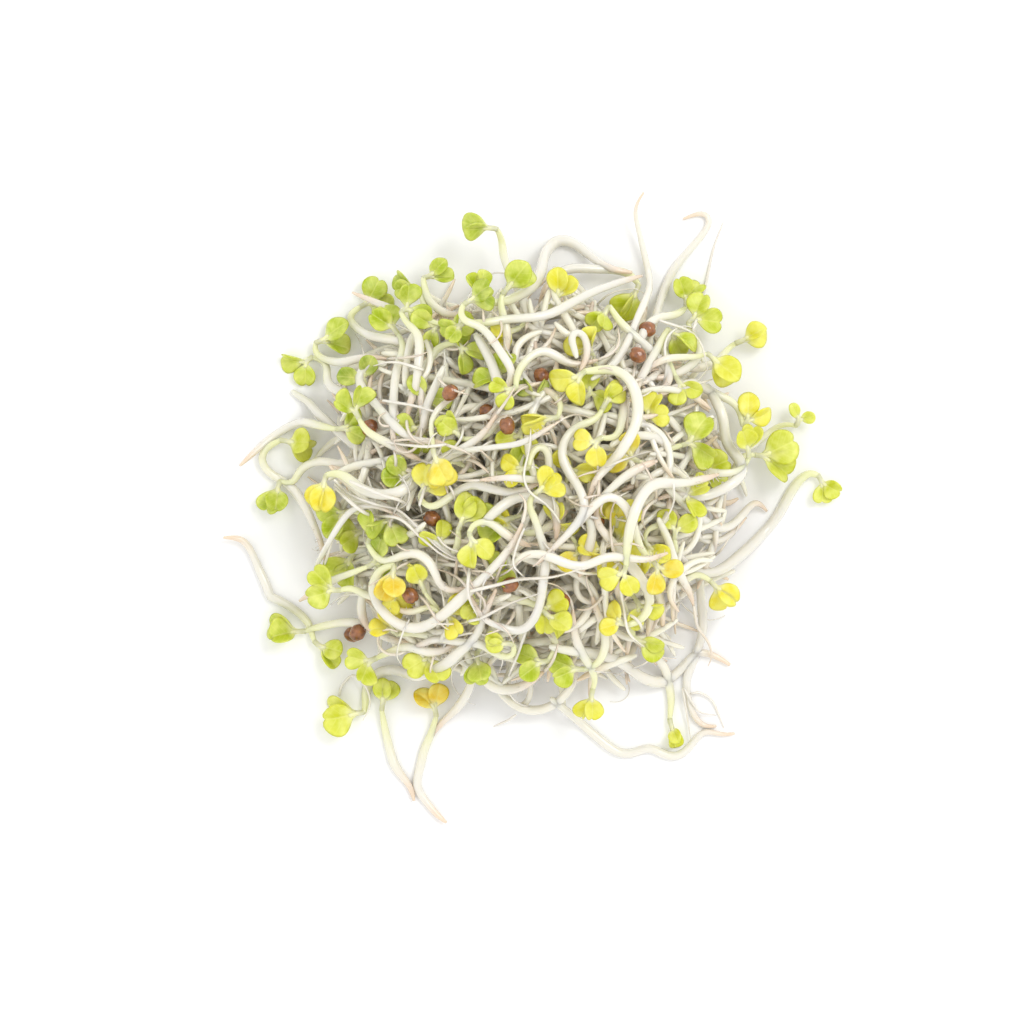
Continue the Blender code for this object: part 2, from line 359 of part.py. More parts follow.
def radius_profile(share, radius, leafy):
    """Radius along a stem, where share is 0 at the leaf end and 1 at the root's tip."""
    return radius * np.interp(share, [0, 0.12, 0.7, 1], [LEAF_NECK if leafy else CUT_END, 1, 1, ROOT_TIP])


class Strand:
    """A sprout's points while the heap is eased apart. Its leaves go ahead of them as one rigid lump."""

    def __init__(self, spec):
        self.spec = spec
        route = [*spec.route]
        if spec.leaf:
            x, y, length, _ = spec.leaf
            heading = np.array([x, y]) - route[0]
            reach = np.linalg.norm(heading)
            heading /= reach
            self.heading = np.array([*heading, LEAF_RISE])
            stalk = reach - 0.5 * length - LEAF_START
            if stalk > GAP:
                route.insert(0, tuple(route[0] + heading * stalk))
        plan = smooth_line(route, STEP)
        share = np.linspace(0, 1, len(plan))
        level = spec.level[0] * (1 - share) + spec.level[1] * share
        height = dome(plan) * level + spec.lift[0] * (1 - share) ** 2 + spec.lift[1] * share**3
        self.stem = np.column_stack([plan, np.maximum(height, FLOOR_SHARE * spec.radius)])
        self.radii = radius_profile(share, spec.radius, spec.leaf is not None)
        self.lobes, self.lump, self.lump_radius = [], np.zeros((0, 3)), 0
        if spec.leaf:
            self.lobes = self.lobe_directions()
            self.lump = np.vstack([self.lobe_balls(way, length) for way in self.lobes])
            self.lump_radius = LEAF_BALL * length

    def lobe_directions(self):
        """The ways that both seed leaves point, one a little above the other."""
        spread = self.spec.leaf[3]
        ways = []
        for side in (1, -1):
            pitch = math.radians(side * (FOLDED_PITCH - PITCH_LOSS * spread) + PAIR_PITCH)
            flat = turned(self.heading * [1, 1, 0], side * spread)
            ways.append(flat * math.cos(pitch) + np.array([0, 0, math.sin(pitch)]))
        return ways

    def lobe_balls(self, way, length):
        """Middles of the balls that keep a seed leaf's place free."""
        across = np.cross(way, [0, 0, 1.0])
        across /= np.linalg.norm(across)
        start = self.stem[0] + self.heading * LEAF_START
        return np.array([start + way * u * length + across * v * length for u, v in LEAF_BALLS])


class SeedCoat:
    """A loose seed coat's one point while the heap is eased apart."""

    def __init__(self, x, y, level):
        self.spec = None
        self.stem = np.array([[x, y, dome(np.array([x, y])) * level]])
        self.radii = np.array([SEED_RADIUS])
        self.lump, self.lump_radius = np.zeros((0, 3)), 0


class Heap:
    """All strands in one set of arrays, so that they can be eased apart together."""

    def __init__(self, strands):
        self.strands = strands
        self.starts = []
        points, radii, owner, rigid, back, ahead = [], [], [], [], [], []
        for number, strand in enumerate(strands):
            first = len(points) and sum(len(p) for p in points)
            self.starts.append(first)
            lump, stem = strand.lump, strand.stem
            size = len(lump) + len(stem)
            points.append(np.vstack([lump, stem]))
            radii += [strand.lump_radius] * len(lump) + list(strand.radii)
            owner += [number] * size
            rigid += [True] * len(lump) + [False] * len(stem)
            stem_first, last = first + len(lump), first + size - 1
            index = np.arange(first, first + size)
            back.append(np.where(index < stem_first, stem_first, np.maximum(index - 1, stem_first)))
            ahead.append(np.where(index < stem_first, stem_first, np.minimum(index + 1, last)))
        self.points = np.vstack(points)
        self.radii = np.array(radii)
        self.owner = np.array(owner)
        self.rigid = np.array(rigid)
        self.back, self.ahead = np.concatenate(back), np.concatenate(ahead)
        self.along = np.concatenate([[*[0] * len(s.lump), *range(len(s.stem))] for s in strands])
        self.fixed = self.owner == 0
        self.lumps = [
            (slice(first, first + len(strand.lump)), first + len(strand.lump))
            for first, strand in zip(self.starts, strands)
            if len(strand.lump)
        ]

    def stem_slice(self, number):
        first = self.starts[number] + len(self.strands[number].lump)
        return slice(first, first + len(self.strands[number].stem))

    def near_pairs(self, margin):
        """Pairs of points whose balls are within the margin, leaving out a strand's own neighbours."""
        found = []
        for low in range(0, len(self.points), 400):
            rows = slice(low, low + 400)
            away = np.linalg.norm(self.points[rows, None] - self.points[None], axis=2)
            reach = self.radii[rows, None] + self.radii[None] + margin
            i, j = np.nonzero(away < reach)
            i += low
            far_along = np.where(self.rigid[i], self.along[j] > LEAF_REACH, j - i > OWN_REACH)
            apart = (self.owner[i] != self.owner[j]) | (far_along & ~self.rigid[j])
            keep = (i < j) & apart
            found.append(np.column_stack([i[keep], j[keep]]))
        return np.vstack(found)

    def bundle(self):
        """Joins strands that lie closest into bundles, and returns each one's bundle and the welds.

        A weld is the pair of points where two stems are joined.
        """
        count = len(self.strands)
        stems = [number for number in range(count) if self.strands[number].spec]
        links = []
        for place, a in enumerate(stems):
            for b in stems[place + 1:]:
                first_a = self.stem_slice(a).start + WELD_MARGIN
                first_b = self.stem_slice(b).start + WELD_MARGIN
                points_a = self.points[first_a:self.stem_slice(a).stop - WELD_MARGIN]
                points_b = self.points[first_b:self.stem_slice(b).stop - WELD_MARGIN]
                if len(points_a) == 0 or len(points_b) == 0:
                    continue
                away = np.linalg.norm(points_a[:, None] - points_b[None], axis=2)
                i, j = np.unravel_index(np.argmin(away), away.shape)
                if away[i, j] < WELD_REACH:
                    links.append((round(float(away[i, j]), 6), a, b, first_a + i, first_b + j))
        bundle_of = list(range(count))
        welds = []
        for _, a, b, i, j in sorted(links):
            one, two = bundle_of[a], bundle_of[b]
            if one == two or bundle_of.count(one) + bundle_of.count(two) > BUNDLE_LIMIT:
                continue
            bundle_of = [one if g == two else g for g in bundle_of]
            welds.append((i, j))
        return bundle_of, np.array(welds)

    def smoothed(self, push):
        """A push shared with the points beside it, so that a stem bends instead of kinking."""
        for _ in range(SHARING):
            push = 0.5 * push + 0.25 * (push[self.back] + push[self.ahead])
        return PUSH_GAIN * push

    def ease(self, welds):
        """Moves the strands until they are clear of each other, and joined stems meet."""
        weld_i, weld_j = welds[:, 0], welds[:, 1]
        meet = WELD_DEPTH * (self.radii[weld_i] + self.radii[weld_j])
        welded = {}
        for i, j in welds:
            welded.setdefault((self.owner[i], self.owner[j]), []).append((i, j))
        floor = np.where(self.rigid, LEAF_FLOOR, FLOOR_SHARE) * self.radii
        for turn in range(ROUNDS):
            if turn % LOOK_EVERY == 0:
                pairs = self.near_pairs(GAP + LOOK_AROUND)
                pairs = pairs[~self.at_weld(pairs, welded)]
                i, j = pairs[:, 0], pairs[:, 1]
                need = self.radii[i] + self.radii[j] + GAP
            gap = self.points[i] - self.points[j]
            away = np.linalg.norm(gap, axis=1)
            short = np.clip(need - away, 0, None)
            way = gap * [PLAN_GIVE, PLAN_GIVE, 1.0]
            way[away < TINY] = [0, 0, 1]
            size = np.linalg.norm(way, axis=1)
            push = self.gathered(i, j, way / size[:, None] * (0.5 * short)[:, None])
            gap = self.points[weld_i] - self.points[weld_j]
            away = np.maximum(np.linalg.norm(gap, axis=1), TINY)
            pull = gap / away[:, None] * (0.5 * (meet - away))[:, None]
            push += self.gathered(weld_i, weld_j, pull)
            push = self.smoothed(push)
            self.move(push, floor)

    def gathered(self, i, j, push):
        """Equal and opposite pushes on both points of each pair, averaged over the pairs of a point."""
        total = np.zeros_like(self.points)
        count = len(self.points)
        for k in range(3):
            total[:, k] = np.bincount(i, push[:, k], count) - np.bincount(j, push[:, k], count)
        busy = (np.abs(push).sum(axis=1) > 0).astype(float)
        times = np.bincount(i, busy, count) + np.bincount(j, busy, count)
        return total / np.maximum(times, 1)[:, None] ** CROWDING

    def at_weld(self, pairs, welded):
        """True for pairs so near a weld that the two stems are meant to touch there."""
        near = np.zeros(len(pairs), bool)
        owners = self.owner[pairs]
        for (a, b), joints in welded.items():
            both = (owners[:, 0] == a) & (owners[:, 1] == b)
            for i, j in joints:
                near |= both & (np.abs(pairs[:, 0] - i) + np.abs(pairs[:, 1] - j) < WELD_ZONE)
        return near & ~self.rigid[pairs].any(axis=1)

    def move(self, push, floor):
        """Moves the points, with leaves as rigid lumps on the ends of their stems."""
        for lump, end in self.lumps:
            shared = LEAF_SHARE * push[lump].mean(axis=0) + (1 - LEAF_SHARE) * push[end]
            push[lump] = shared
            for k, part in enumerate(LUMP_PULL):
                push[end + k] = part * shared + (1 - part) * push[end + k]
        push[self.fixed] = 0
        self.points += push
        under = np.maximum(floor - self.points[:, 2], 0)
        under[self.fixed] = 0
        for lump, end in self.lumps:
            under[lump] = under[end] = max(under[lump].max(), under[end])
        self.points[:, 2] += under


def all_strands():
    """Every strand of the heap: the drawn sprouts, the fillers and the seed coats."""
    return [Strand(spec) for spec in DRAWN + fillers()] + [SeedCoat(*place) for place in SEEDS]


def thinned(line, error):
    """The fewest of a line's points that keep it within the error, as indices."""
    def split(low, high):
        chord = line[high] - line[low]
        inner = line[low + 1:high] - line[low]
        if len(inner) == 0:
            return []
        off = np.linalg.norm(inner - np.outer(inner @ chord, chord) / (chord @ chord), axis=1)
        worst = int(off.argmax())
        if off[worst] < error:
            return []
        middle = low + 1 + worst
        return split(low, middle) + [middle] + split(middle, high)
    return [0] + split(0, len(line) - 1) + [len(line) - 1]


def add_tube(mesh, line, radii):
    """A closed tube with a facet underneath, which a table presses flat where it would reach below it."""
    rings = []
    side = np.array([1.0, 0, 0])
    for k, (middle, radius) in enumerate(zip(line, radii)):
        along = line[min(k + 1, len(line) - 1)] - line[max(k - 1, 0)]
        along /= np.linalg.norm(along)
        level = np.cross(along, [0, 0, 1.0])
        if np.linalg.norm(level) > 0.3:
            side = level
        side = side - along * (side @ along)
        side /= np.linalg.norm(side)
        up = np.cross(side, along)
        ring = []
        for n in range(TUBE_SIDES):
            a = 2 * math.pi * (n + 0.5) / TUBE_SIDES - math.pi / 2
            spot = middle + CORNER_REACH * radius * (side * math.cos(a) + up * math.sin(a))
            ring.append(mesh.verts.new((spot[0] * MM, spot[1] * MM, max(spot[2], 0) * MM)))
        rings.append(ring)
    for one, two in zip(rings, rings[1:]):
        for n in range(TUBE_SIDES):
            m = (n + 1) % TUBE_SIDES
            mesh.faces.new((one[n], one[m], two[m], two[n]))
    mesh.faces.new(reversed(rings[0]))
    mesh.faces.new(rings[-1])


def add_blade(mesh, foot, start, direction, length, edge, faces):
    """A seed leaf: a thin arched solid, narrow at its foot, wide beyond and notched at its end."""
    across = np.cross(direction, [0, 0, 1.0])
    across /= np.linalg.norm(across)
    up = np.cross(across, direction)
    outline = [foot - across * STALK_WIDTH / 2]
    for u, v in edge:
        rise = BLADE_CUP * v * v - BLADE_ARCH * u * u
        outline.append(start + (direction * u + across * v + up * rise) * length)
    outline.append(foot + across * STALK_WIDTH / 2)
    sheets = []
    for sign in (1, -1):
        spots = [point + up * sign * BLADE_THICKNESS / 2 for point in outline]
        sheets.append([mesh.verts.new((x * MM, y * MM, max(z, 0) * MM)) for x, y, z in spots])
    top, bottom = sheets
    for a, b, c in faces:
        mesh.faces.new((top[a], top[b], top[c]))
        mesh.faces.new((bottom[c], bottom[b], bottom[a]))
    for n in range(len(outline)):
        m = (n + 1) % len(outline)
        mesh.faces.new((bottom[n], bottom[m], top[m], top[n]))


def material(name, colour, roughness):
    """A plain finish."""
    made = bpy.data.materials.new(name)
    made.use_nodes = True
    shader = made.node_tree.nodes["Principled BSDF"]
    shader.inputs["Base Color"].default_value = (*colour, 1)
    shader.inputs["Roughness"].default_value = roughness
    shader.inputs["Metallic"].default_value = 0
    return made


def solid(name, add, *values):
    """An object made by one of the functions that add a shape to a mesh."""
    shape = bmesh.new()
    add(shape, *values)
    bmesh.ops.recalc_face_normals(shape, faces=shape.faces)
    mesh = bpy.data.meshes.new(name)
    shape.to_mesh(mesh)
    shape.free()
    made = bpy.data.objects.new(name, mesh)
    bpy.context.scene.collection.objects.link(made)
    return made


def shells(shape):
    """The faces of each connected surface of a mesh, largest first."""
    left, found = set(shape.faces), []
    while left:
        shell, border = [], [left.pop()]
        while border:
            face = border.pop()
            shell.append(face)
            beside = {other for edge in face.edges for other in edge.link_faces} & left
            left -= beside
            border += beside
        found.append(shell)
    return sorted(found, key=len, reverse=True)


def tidied(mesh):
    """The mesh without the needless edges, sealed hollows and scraps that a union leaves."""
    shape = bmesh.new()
    shape.from_mesh(mesh)
    for shell in shells(shape)[1:]:
        bmesh.ops.delete(shape, geom=shell, context="FACES")
    bmesh.ops.dissolve_limit(shape, angle_limit=FLAT_ANGLE, verts=shape.verts, edges=shape.edges)
    midway = [v for v in shape.verts if len(v.link_edges) == 2 and v.calc_edge_angle(0) < STRAIGHT_ANGLE]
    bmesh.ops.dissolve_verts(shape, verts=midway)
    shape.to_mesh(mesh)
    shape.free()
    return mesh


def joined(name, pieces, finish):
    """One body made of pieces that overlap."""
    base, others = pieces[0], pieces[1:]
    if others:
        group = bpy.data.collections.new(name)
        for piece in others:
            bpy.context.scene.collection.objects.unlink(piece)
            group.objects.link(piece)
        bpy.context.scene.collection.children.link(group)
        union = base.modifiers.new("union", "BOOLEAN")
        union.operation = "UNION"
        union.operand_type = "COLLECTION"
        union.collection = group
        union.solver = "MANIFOLD"  # the exact one leaves a bundle that touches itself along an edge
        seen = base.evaluated_get(bpy.context.evaluated_depsgraph_get())
        mesh = bpy.data.meshes.new_from_object(seen)
        base.modifiers.clear()
        base.data = tidied(mesh)
        for piece in others:
            bpy.data.objects.remove(piece)
        bpy.data.collections.remove(group)
    base.name = base.data.name = name
    base.data.materials.clear()
    base.data.materials.append(finish)
    return base


def stem_piece(stem, radii, joints):
    """A coarse tube along an eased stem, with a ring at each point where it is joined to another."""
    keep = sorted({*thinned(stem, CHORD_ERROR), *joints})
    return solid("stem", add_tube, stem[keep], radii[keep])


def leaf_pieces(strand, end):
    """The pair of seed leaves at a stem's end, joined at their stalks."""
    buried = strand.spec.level[0] < BURIED_LEVEL
    form = (BURIED_EDGE, BURIED_FACES) if buried else (BLADE_EDGE, BLADE_FACES)
    start = end + strand.heading * LEAF_START
    foot = end - strand.heading * BURIED_ROOT if buried else start
    return [solid("blade", add_blade, foot, start, way, strand.spec.leaf[2], *form) for way in strand.lobes]


def seed_coat(name, middle, number, finish):
    """A loose brown seed coat, a little flattened and turned differently each time."""
    shape = bmesh.new()
    bmesh.ops.create_uvsphere(shape, u_segments=8, v_segments=5, radius=SEED_RADIUS * MM)
    turn = Matrix.Rotation(number * 0.9, 4, "Z") @ Matrix.Rotation(0.4 * math.sin(number * 2.1), 4, "X")
    bmesh.ops.transform(shape, matrix=turn @ Matrix.Diagonal((*SEED_FORM, 1)), verts=shape.verts)
    mesh = bpy.data.meshes.new(name)
    shape.to_mesh(mesh)
    shape.free()
    made = bpy.data.objects.new(name, mesh)
    made.location = middle * MM
    mesh.materials.append(finish)
    bpy.context.scene.collection.objects.link(made)


def build():
    """The whole heap."""
    for old in list(bpy.data.objects):
        bpy.data.objects.remove(old)
    cream = material("stem_cream", (0.82, 0.8, 0.66), 0.4)
    green = material("leaf_green", (0.42, 0.5, 0.06), 0.45)
    brown = material("seed_brown", (0.22, 0.09, 0.03), 0.35)

    strands = all_strands()
    heap = Heap(strands)
    bundle_of, welds = heap.bundle()
    heap.ease(welds)
    heap.points -= [*PLAN_CENTRE, 0]

    bundles = collections.defaultdict(list)
    leaves, seeds = [], []
    for number, strand in enumerate(strands):
        stem = heap.points[heap.stem_slice(number)]
        if not strand.spec:
            seeds.append(stem[0])
            continue
        joints = [heap.along[i] for i in welds.flat if heap.owner[i] == number]
        bundles[bundle_of[number]].append(stem_piece(stem, strand.radii, joints))
        if strand.spec.leaf:
            place = bundles[bundle_of[number]] if strand.spec.level[0] < BURIED_LEVEL else leaves
            place += leaf_pieces(strand, stem[0])
    for number, pieces in enumerate(bundles.values(), 1):
        joined(f"stems_{number:02}", pieces, cream)
    for number, pair in enumerate(zip(leaves[::2], leaves[1::2]), 1):
        joined(f"leaves_{number:02}", list(pair), green)
    for number, middle in enumerate(seeds, 1):
        seed_coat(f"seed_{number}", middle, number, brown)


build()
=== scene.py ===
"""A heap of mixed salad sprouts on a pale table, seen from straight above.

The first half repeats the part's drawing: the plan routes of the sprouts and the rule that eases them
apart, in millimetres. The second half grows each sprout along its eased line, as a smooth tapering stem
with a pair of seed leaves. It adds the seed coats, the thin roots and what fills the heap's inside.
"""

import collections
import math

import bpy
import numpy as np
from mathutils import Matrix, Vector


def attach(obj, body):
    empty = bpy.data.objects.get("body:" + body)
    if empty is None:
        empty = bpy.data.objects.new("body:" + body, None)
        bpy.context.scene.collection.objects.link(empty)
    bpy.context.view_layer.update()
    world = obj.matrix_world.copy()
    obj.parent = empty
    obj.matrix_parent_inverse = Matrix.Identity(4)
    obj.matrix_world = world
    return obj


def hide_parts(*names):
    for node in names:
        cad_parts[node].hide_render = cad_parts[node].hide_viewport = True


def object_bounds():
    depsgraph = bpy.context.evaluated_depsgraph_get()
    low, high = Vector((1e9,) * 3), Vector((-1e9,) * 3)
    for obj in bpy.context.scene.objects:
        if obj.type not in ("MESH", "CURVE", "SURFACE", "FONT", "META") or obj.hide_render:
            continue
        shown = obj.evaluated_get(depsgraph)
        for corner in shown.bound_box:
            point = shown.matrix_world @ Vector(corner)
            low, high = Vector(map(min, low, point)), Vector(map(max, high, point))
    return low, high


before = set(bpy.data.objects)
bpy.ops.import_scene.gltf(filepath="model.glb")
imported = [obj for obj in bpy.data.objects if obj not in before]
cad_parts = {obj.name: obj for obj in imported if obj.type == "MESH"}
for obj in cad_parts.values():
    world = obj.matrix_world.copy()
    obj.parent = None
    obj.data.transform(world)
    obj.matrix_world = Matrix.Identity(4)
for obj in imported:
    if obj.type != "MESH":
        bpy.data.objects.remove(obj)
cad_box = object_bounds()

MM = 0.001
TINY = 1e-6  # no distance

HEAP_RADIUS = 30.0  # of the dome, in plan
HEAP_HEIGHT = 19.0  # nominal height of the dome before the sprouts are eased apart
DOME_POWER = 0.6  # below 1 makes the shoulders of the heap fuller
PLAN_CENTRE = (0.0, -2.5)  # the middle of the outline, which becomes the origin

STEM_RADIUS = 0.62
THICK_STEM = 0.74
THIN_STEM = 0.42
CUT_END = 0.85  # share of the radius left at the end of a stem that has no leaves
LEAF_NECK = 0.78  # share of the radius left where the leaves begin
ROOT_TIP = 0.5  # share of the radius left at the root's tip

LEAF_START = 0.85  # from a stem's end to where its leaves start
LEAF_RISE = 0.12  # slope of a pair of leaves, out of the heap
FOLDED_PITCH = 20  # degrees that the leaves of a closed pair lie above and below the middle
PITCH_LOSS = 0.3  # degrees of that lost for each degree that the pair opens
PAIR_PITCH = 6  # degrees that the whole pair looks up
BURIED_LEVEL = 0.9  # leaves that lie deeper share one piece with the others of their bundle

SEED_RADIUS = 1.15
SEED_FORM = (1.0, 0.86, 0.78)  # its three half axes, for a radius of 1

FILLERS = 14  # sprouts inside the heap, placed by rule
FILLER_SEED = 11

STEP = 0.8  # spacing of the points that a stem is eased with
GAP = 0.42  # left between bodies
FLOOR_SHARE = 0.72  # height of a lying stem's axis, as a share of its radius
LEAF_FLOOR = 0.62  # the same for the balls of a leaf
LEAF_BALL = 0.28  # radius of the balls that keep a leaf's place free, as a share of its length
LEAF_BALLS = [(0.25, 0), (0.55, 0.22), (0.55, -0.22), (0.8, 0.14), (0.8, -0.14)]
LEAF_SHARE = 0.75  # of a leaf's own pushes in how it moves with its stem
LUMP_PULL = (1.0, 0.85, 0.6, 0.35, 0.15)  # how far a moved leaf takes the points of its stem along
ROUNDS = 220  # of easing
LOOK_EVERY = 12  # rounds, for which points are near each other
LOOK_AROUND = 1.2  # further than the gap
PLAN_GIVE = 0.35  # how much of a push may go sideways
SHARING = 6  # times that a push is shared with the points beside it
PUSH_GAIN = 2.4  # makes up for what sharing takes away
CROWDING = 0.7  # power by which several pushes on a point are averaged
OWN_REACH = 9  # points along a stem that may be near each other
LEAF_REACH = 6  # points of its own stem that a leaf may be near

BUNDLE_LIMIT = 12  # most sprouts in a bundle
WELD_REACH = 6.0  # furthest that two stems are apart before they are joined
WELD_DEPTH = 0.55  # distance of two joined stems, as a share of their radii added
WELD_ZONE = 9  # points around a joint where the two may touch
WELD_MARGIN = 2  # points at a stem's ends that are never joined

Sprout = collections.namedtuple("Sprout", "route leaf level lift radius")


def sprout(route, leaf=None, level=(1.0, 0.9), lift=(0, 0), radius=STEM_RADIUS):
    """One sprout, from its leaves to its root.

    route: points in plan. leaf: (x, y) of the pair's middle, length of a leaf, and half the angle
    between the two. level: depth in the heap at both ends, where 1 is the surface and 0 the table.
    lift: how far each end stands up out of the heap.
    """
    return Sprout(route, leaf, level, lift, radius)


BED = [
    sprout([(-13, -2.5), (0, -2.5), (13, -2.5)], level=(0, 0)),
    sprout([(-15, 9), (-6, 5), (3, 8), (14, 4)], level=(0.1, 0)),
    sprout([(12, -16), (4, -12), (-5, -15), (-14, -10)], level=(0.1, 0)),
    sprout([(-9, -17), (-12, -6), (-7, 6), (-10, 17)], level=(0.05, 0.1)),
    sprout([(9, 15), (12, 4), (7, -7), (11, -15)], level=(0.1, 0.05)),
]

CROWN = [
    sprout([(0.6, -0.9), (-0.1, -2), (0.9, -4), (1.5, -7), (1.8, -11), (1.4, -14.6), (0, -17.2),
            (-2.2, -18.3), (-4.3, -17.6), (-5.8, -16), (-7.2, -13.2)], (2.9, 0.6, 3.6, 12), (1, 0.97)),
    sprout([(-1.7, -9.6), (-1.1, -8.5), (1, -8.1), (3, -8.5), (5, -9.5), (7.2, -9.7), (9.5, -8.9),
            (12, -8.6), (14.5, -8.9), (17.4, -8.7)], None, (1.07, 1.07)),
    sprout([(9.2, 9.8), (8.4, 8.4), (6.3, 7.6), (4.9, 6.1), (4.2, 4), (4.6, 1.9), (6, 0.2),
            (7.1, -1.6), (6.9, -3.3), (5, -5.6), (3, -7.6), (1.2, -9.4)], (10.2, 11.6, 3, 20), (0.9, 1.02)),
    sprout([(6.8, 14.3), (8.6, 14.2), (10.7, 13.3), (12.4, 11.7), (13.4, 9.6), (13, 7.4),
            (11.2, 4.9), (9, 2.3), (7.9, 0), (7.4, -1.8)], (5.2, 12.6, 3.6, 38), (1.02, 0.95),
           radius=THICK_STEM),
    sprout([(-1.1, 12.4), (-0.9, 14), (0, 15.8), (1.6, 17), (3.8, 16.3), (6, 15.2), (8.5, 15.6)],
           (-2.7, 11.9, 2.6, 52), (1.03, 0.9)),
    sprout([(5.8, 15.6), (5.5, 17.4), (5.2, 18.7), (6.1, 19.5), (7.2, 18.5), (7.3, 16.5), (6.4, 14.6)],
           None, (0.95, 1.0), radius=0.55),
    sprout([(12, -9.8), (12, -8.5), (12.4, -5.5), (13, -3), (14.2, -0.7), (15.7, 0.6), (18, 0.5),
            (20.5, 0.8), (23.8, 1.8)], (11.3, -11.4, 3.2, 50), (1.1, 1.0), radius=THICK_STEM),
    sprout([(15.9, -9), (14.3, -7.8), (13.3, -5.8), (12.6, -3.3), (11.3, -1.7), (9.6, -1.3),
            (7.6, -2.6), (5.8, -4.8), (3.5, -7)], (16.9, -10.6, 3.4, 45), (1, 0.98)),
    sprout([(12.3, -17), (14.2, -16.2), (15.2, -14), (14.8, -11.8), (13.4, -10), (11.6, -8.2),
            (10.3, -6.3), (9.2, -4), (8.8, -1.8)], (10.6, -16.4, 3, 35), (1, 0.9), radius=THICK_STEM),
    sprout([(-13.2, -1), (-12.8, -2.1), (-11.3, -2.5), (-9.7, -1.5), (-7.8, -0.7), (-4.5, -0.3),
            (-1.5, -0.4), (2, 0.3)], (-11.9, 0.9, 3.2, 34), (1, 0.88)),
    sprout([(-7.4, -5.4), (-7.1, -4.3), (-6, -4.1), (-4.3, -5), (-2, -6.2), (0.3, -7.2)],
           (-6.5, -7.3, 3.4, 30), (1, 0.9)),
    sprout([(-5.3, -4.4), (-4.2, -3), (-2.5, -1.9), (0, -1.5), (2.2, -1.4), (3.3, -2.3), (3.6, -4),
            (3.5, -6.5)], None, (0.9, 0.93), radius=THICK_STEM),
    sprout([(-8.5, -5.2), (-8.6, -7), (-10, -8.8), (-13, -9.2)], (-7.4, -3, 3.8, 12), (0.92, 0.7)),
    sprout([(0.1, 2.4), (0.4, 4.2), (1.5, 5.3), (2.6, 4.4), (3.5, 2.5), (4.5, -0.5)],
           (-1.7, 2.1, 3, 35), (0.95, 0.85), radius=0.55),
    sprout([(8.9, 6.2), (10.6, 6.3), (11.3, 8.2), (12, 10.4), (11.5, 12.8)], (7.6, 5, 3, 52), (1, 0.85)),
    sprout([(3.7, 8.7), (4.3, 10.4), (3.2, 12), (0.8, 12.6)], (1.9, 8.6, 3.8, 14), (0.97, 0.85),
           radius=0.55),
    sprout([(8.6, -1), (10.3, 0.3), (12, 1.5), (14, 2.6), (15.9, 3.3)], None, (0.95, 1.05)),
    sprout([(-9.5, 3.8), (-7, 4.5), (-4, 5), (-1.2, 5.4), (1.3, 6.7), (3.9, 8.2)], None, (1.0, 1.08),
           radius=THIN_STEM),
    sprout([(10.8, 4.6), (12.8, 6), (15.3, 6.4), (17.2, 5.4), (17.5, 3.4), (16.9, 1.3), (17.8, -0.8),
            (19.3, -3), (20.3, -5.2), (22.5, -6.8), (25, -6), (27.2, -3.6)], None, (0.97, 0.3)),
    sprout([(-11.3, 5.6), (-10.7, 7.5), (-9.9, 9.8), (-8, 12)], (-10.6, 3.4, 4, 5), (1.05, 0.9),
           radius=THIN_STEM),
    sprout([(3.2, 0.9), (0.5, 1), (-3, 1.1), (-5.9, 0.9)], None, (0.95, 1.05), radius=0.5),
    sprout([(6.4, -3), (7.4, -6), (7.2, -8.4), (6.3, -11)], None, (0.85, 0.88), radius=THICK_STEM),
    sprout([(1.8, -15.2), (0.3, -14), (-2, -13.4), (-4.5, -12)], (3.2, -16.5, 3.4, 10), (0.9, 0.8)),
]

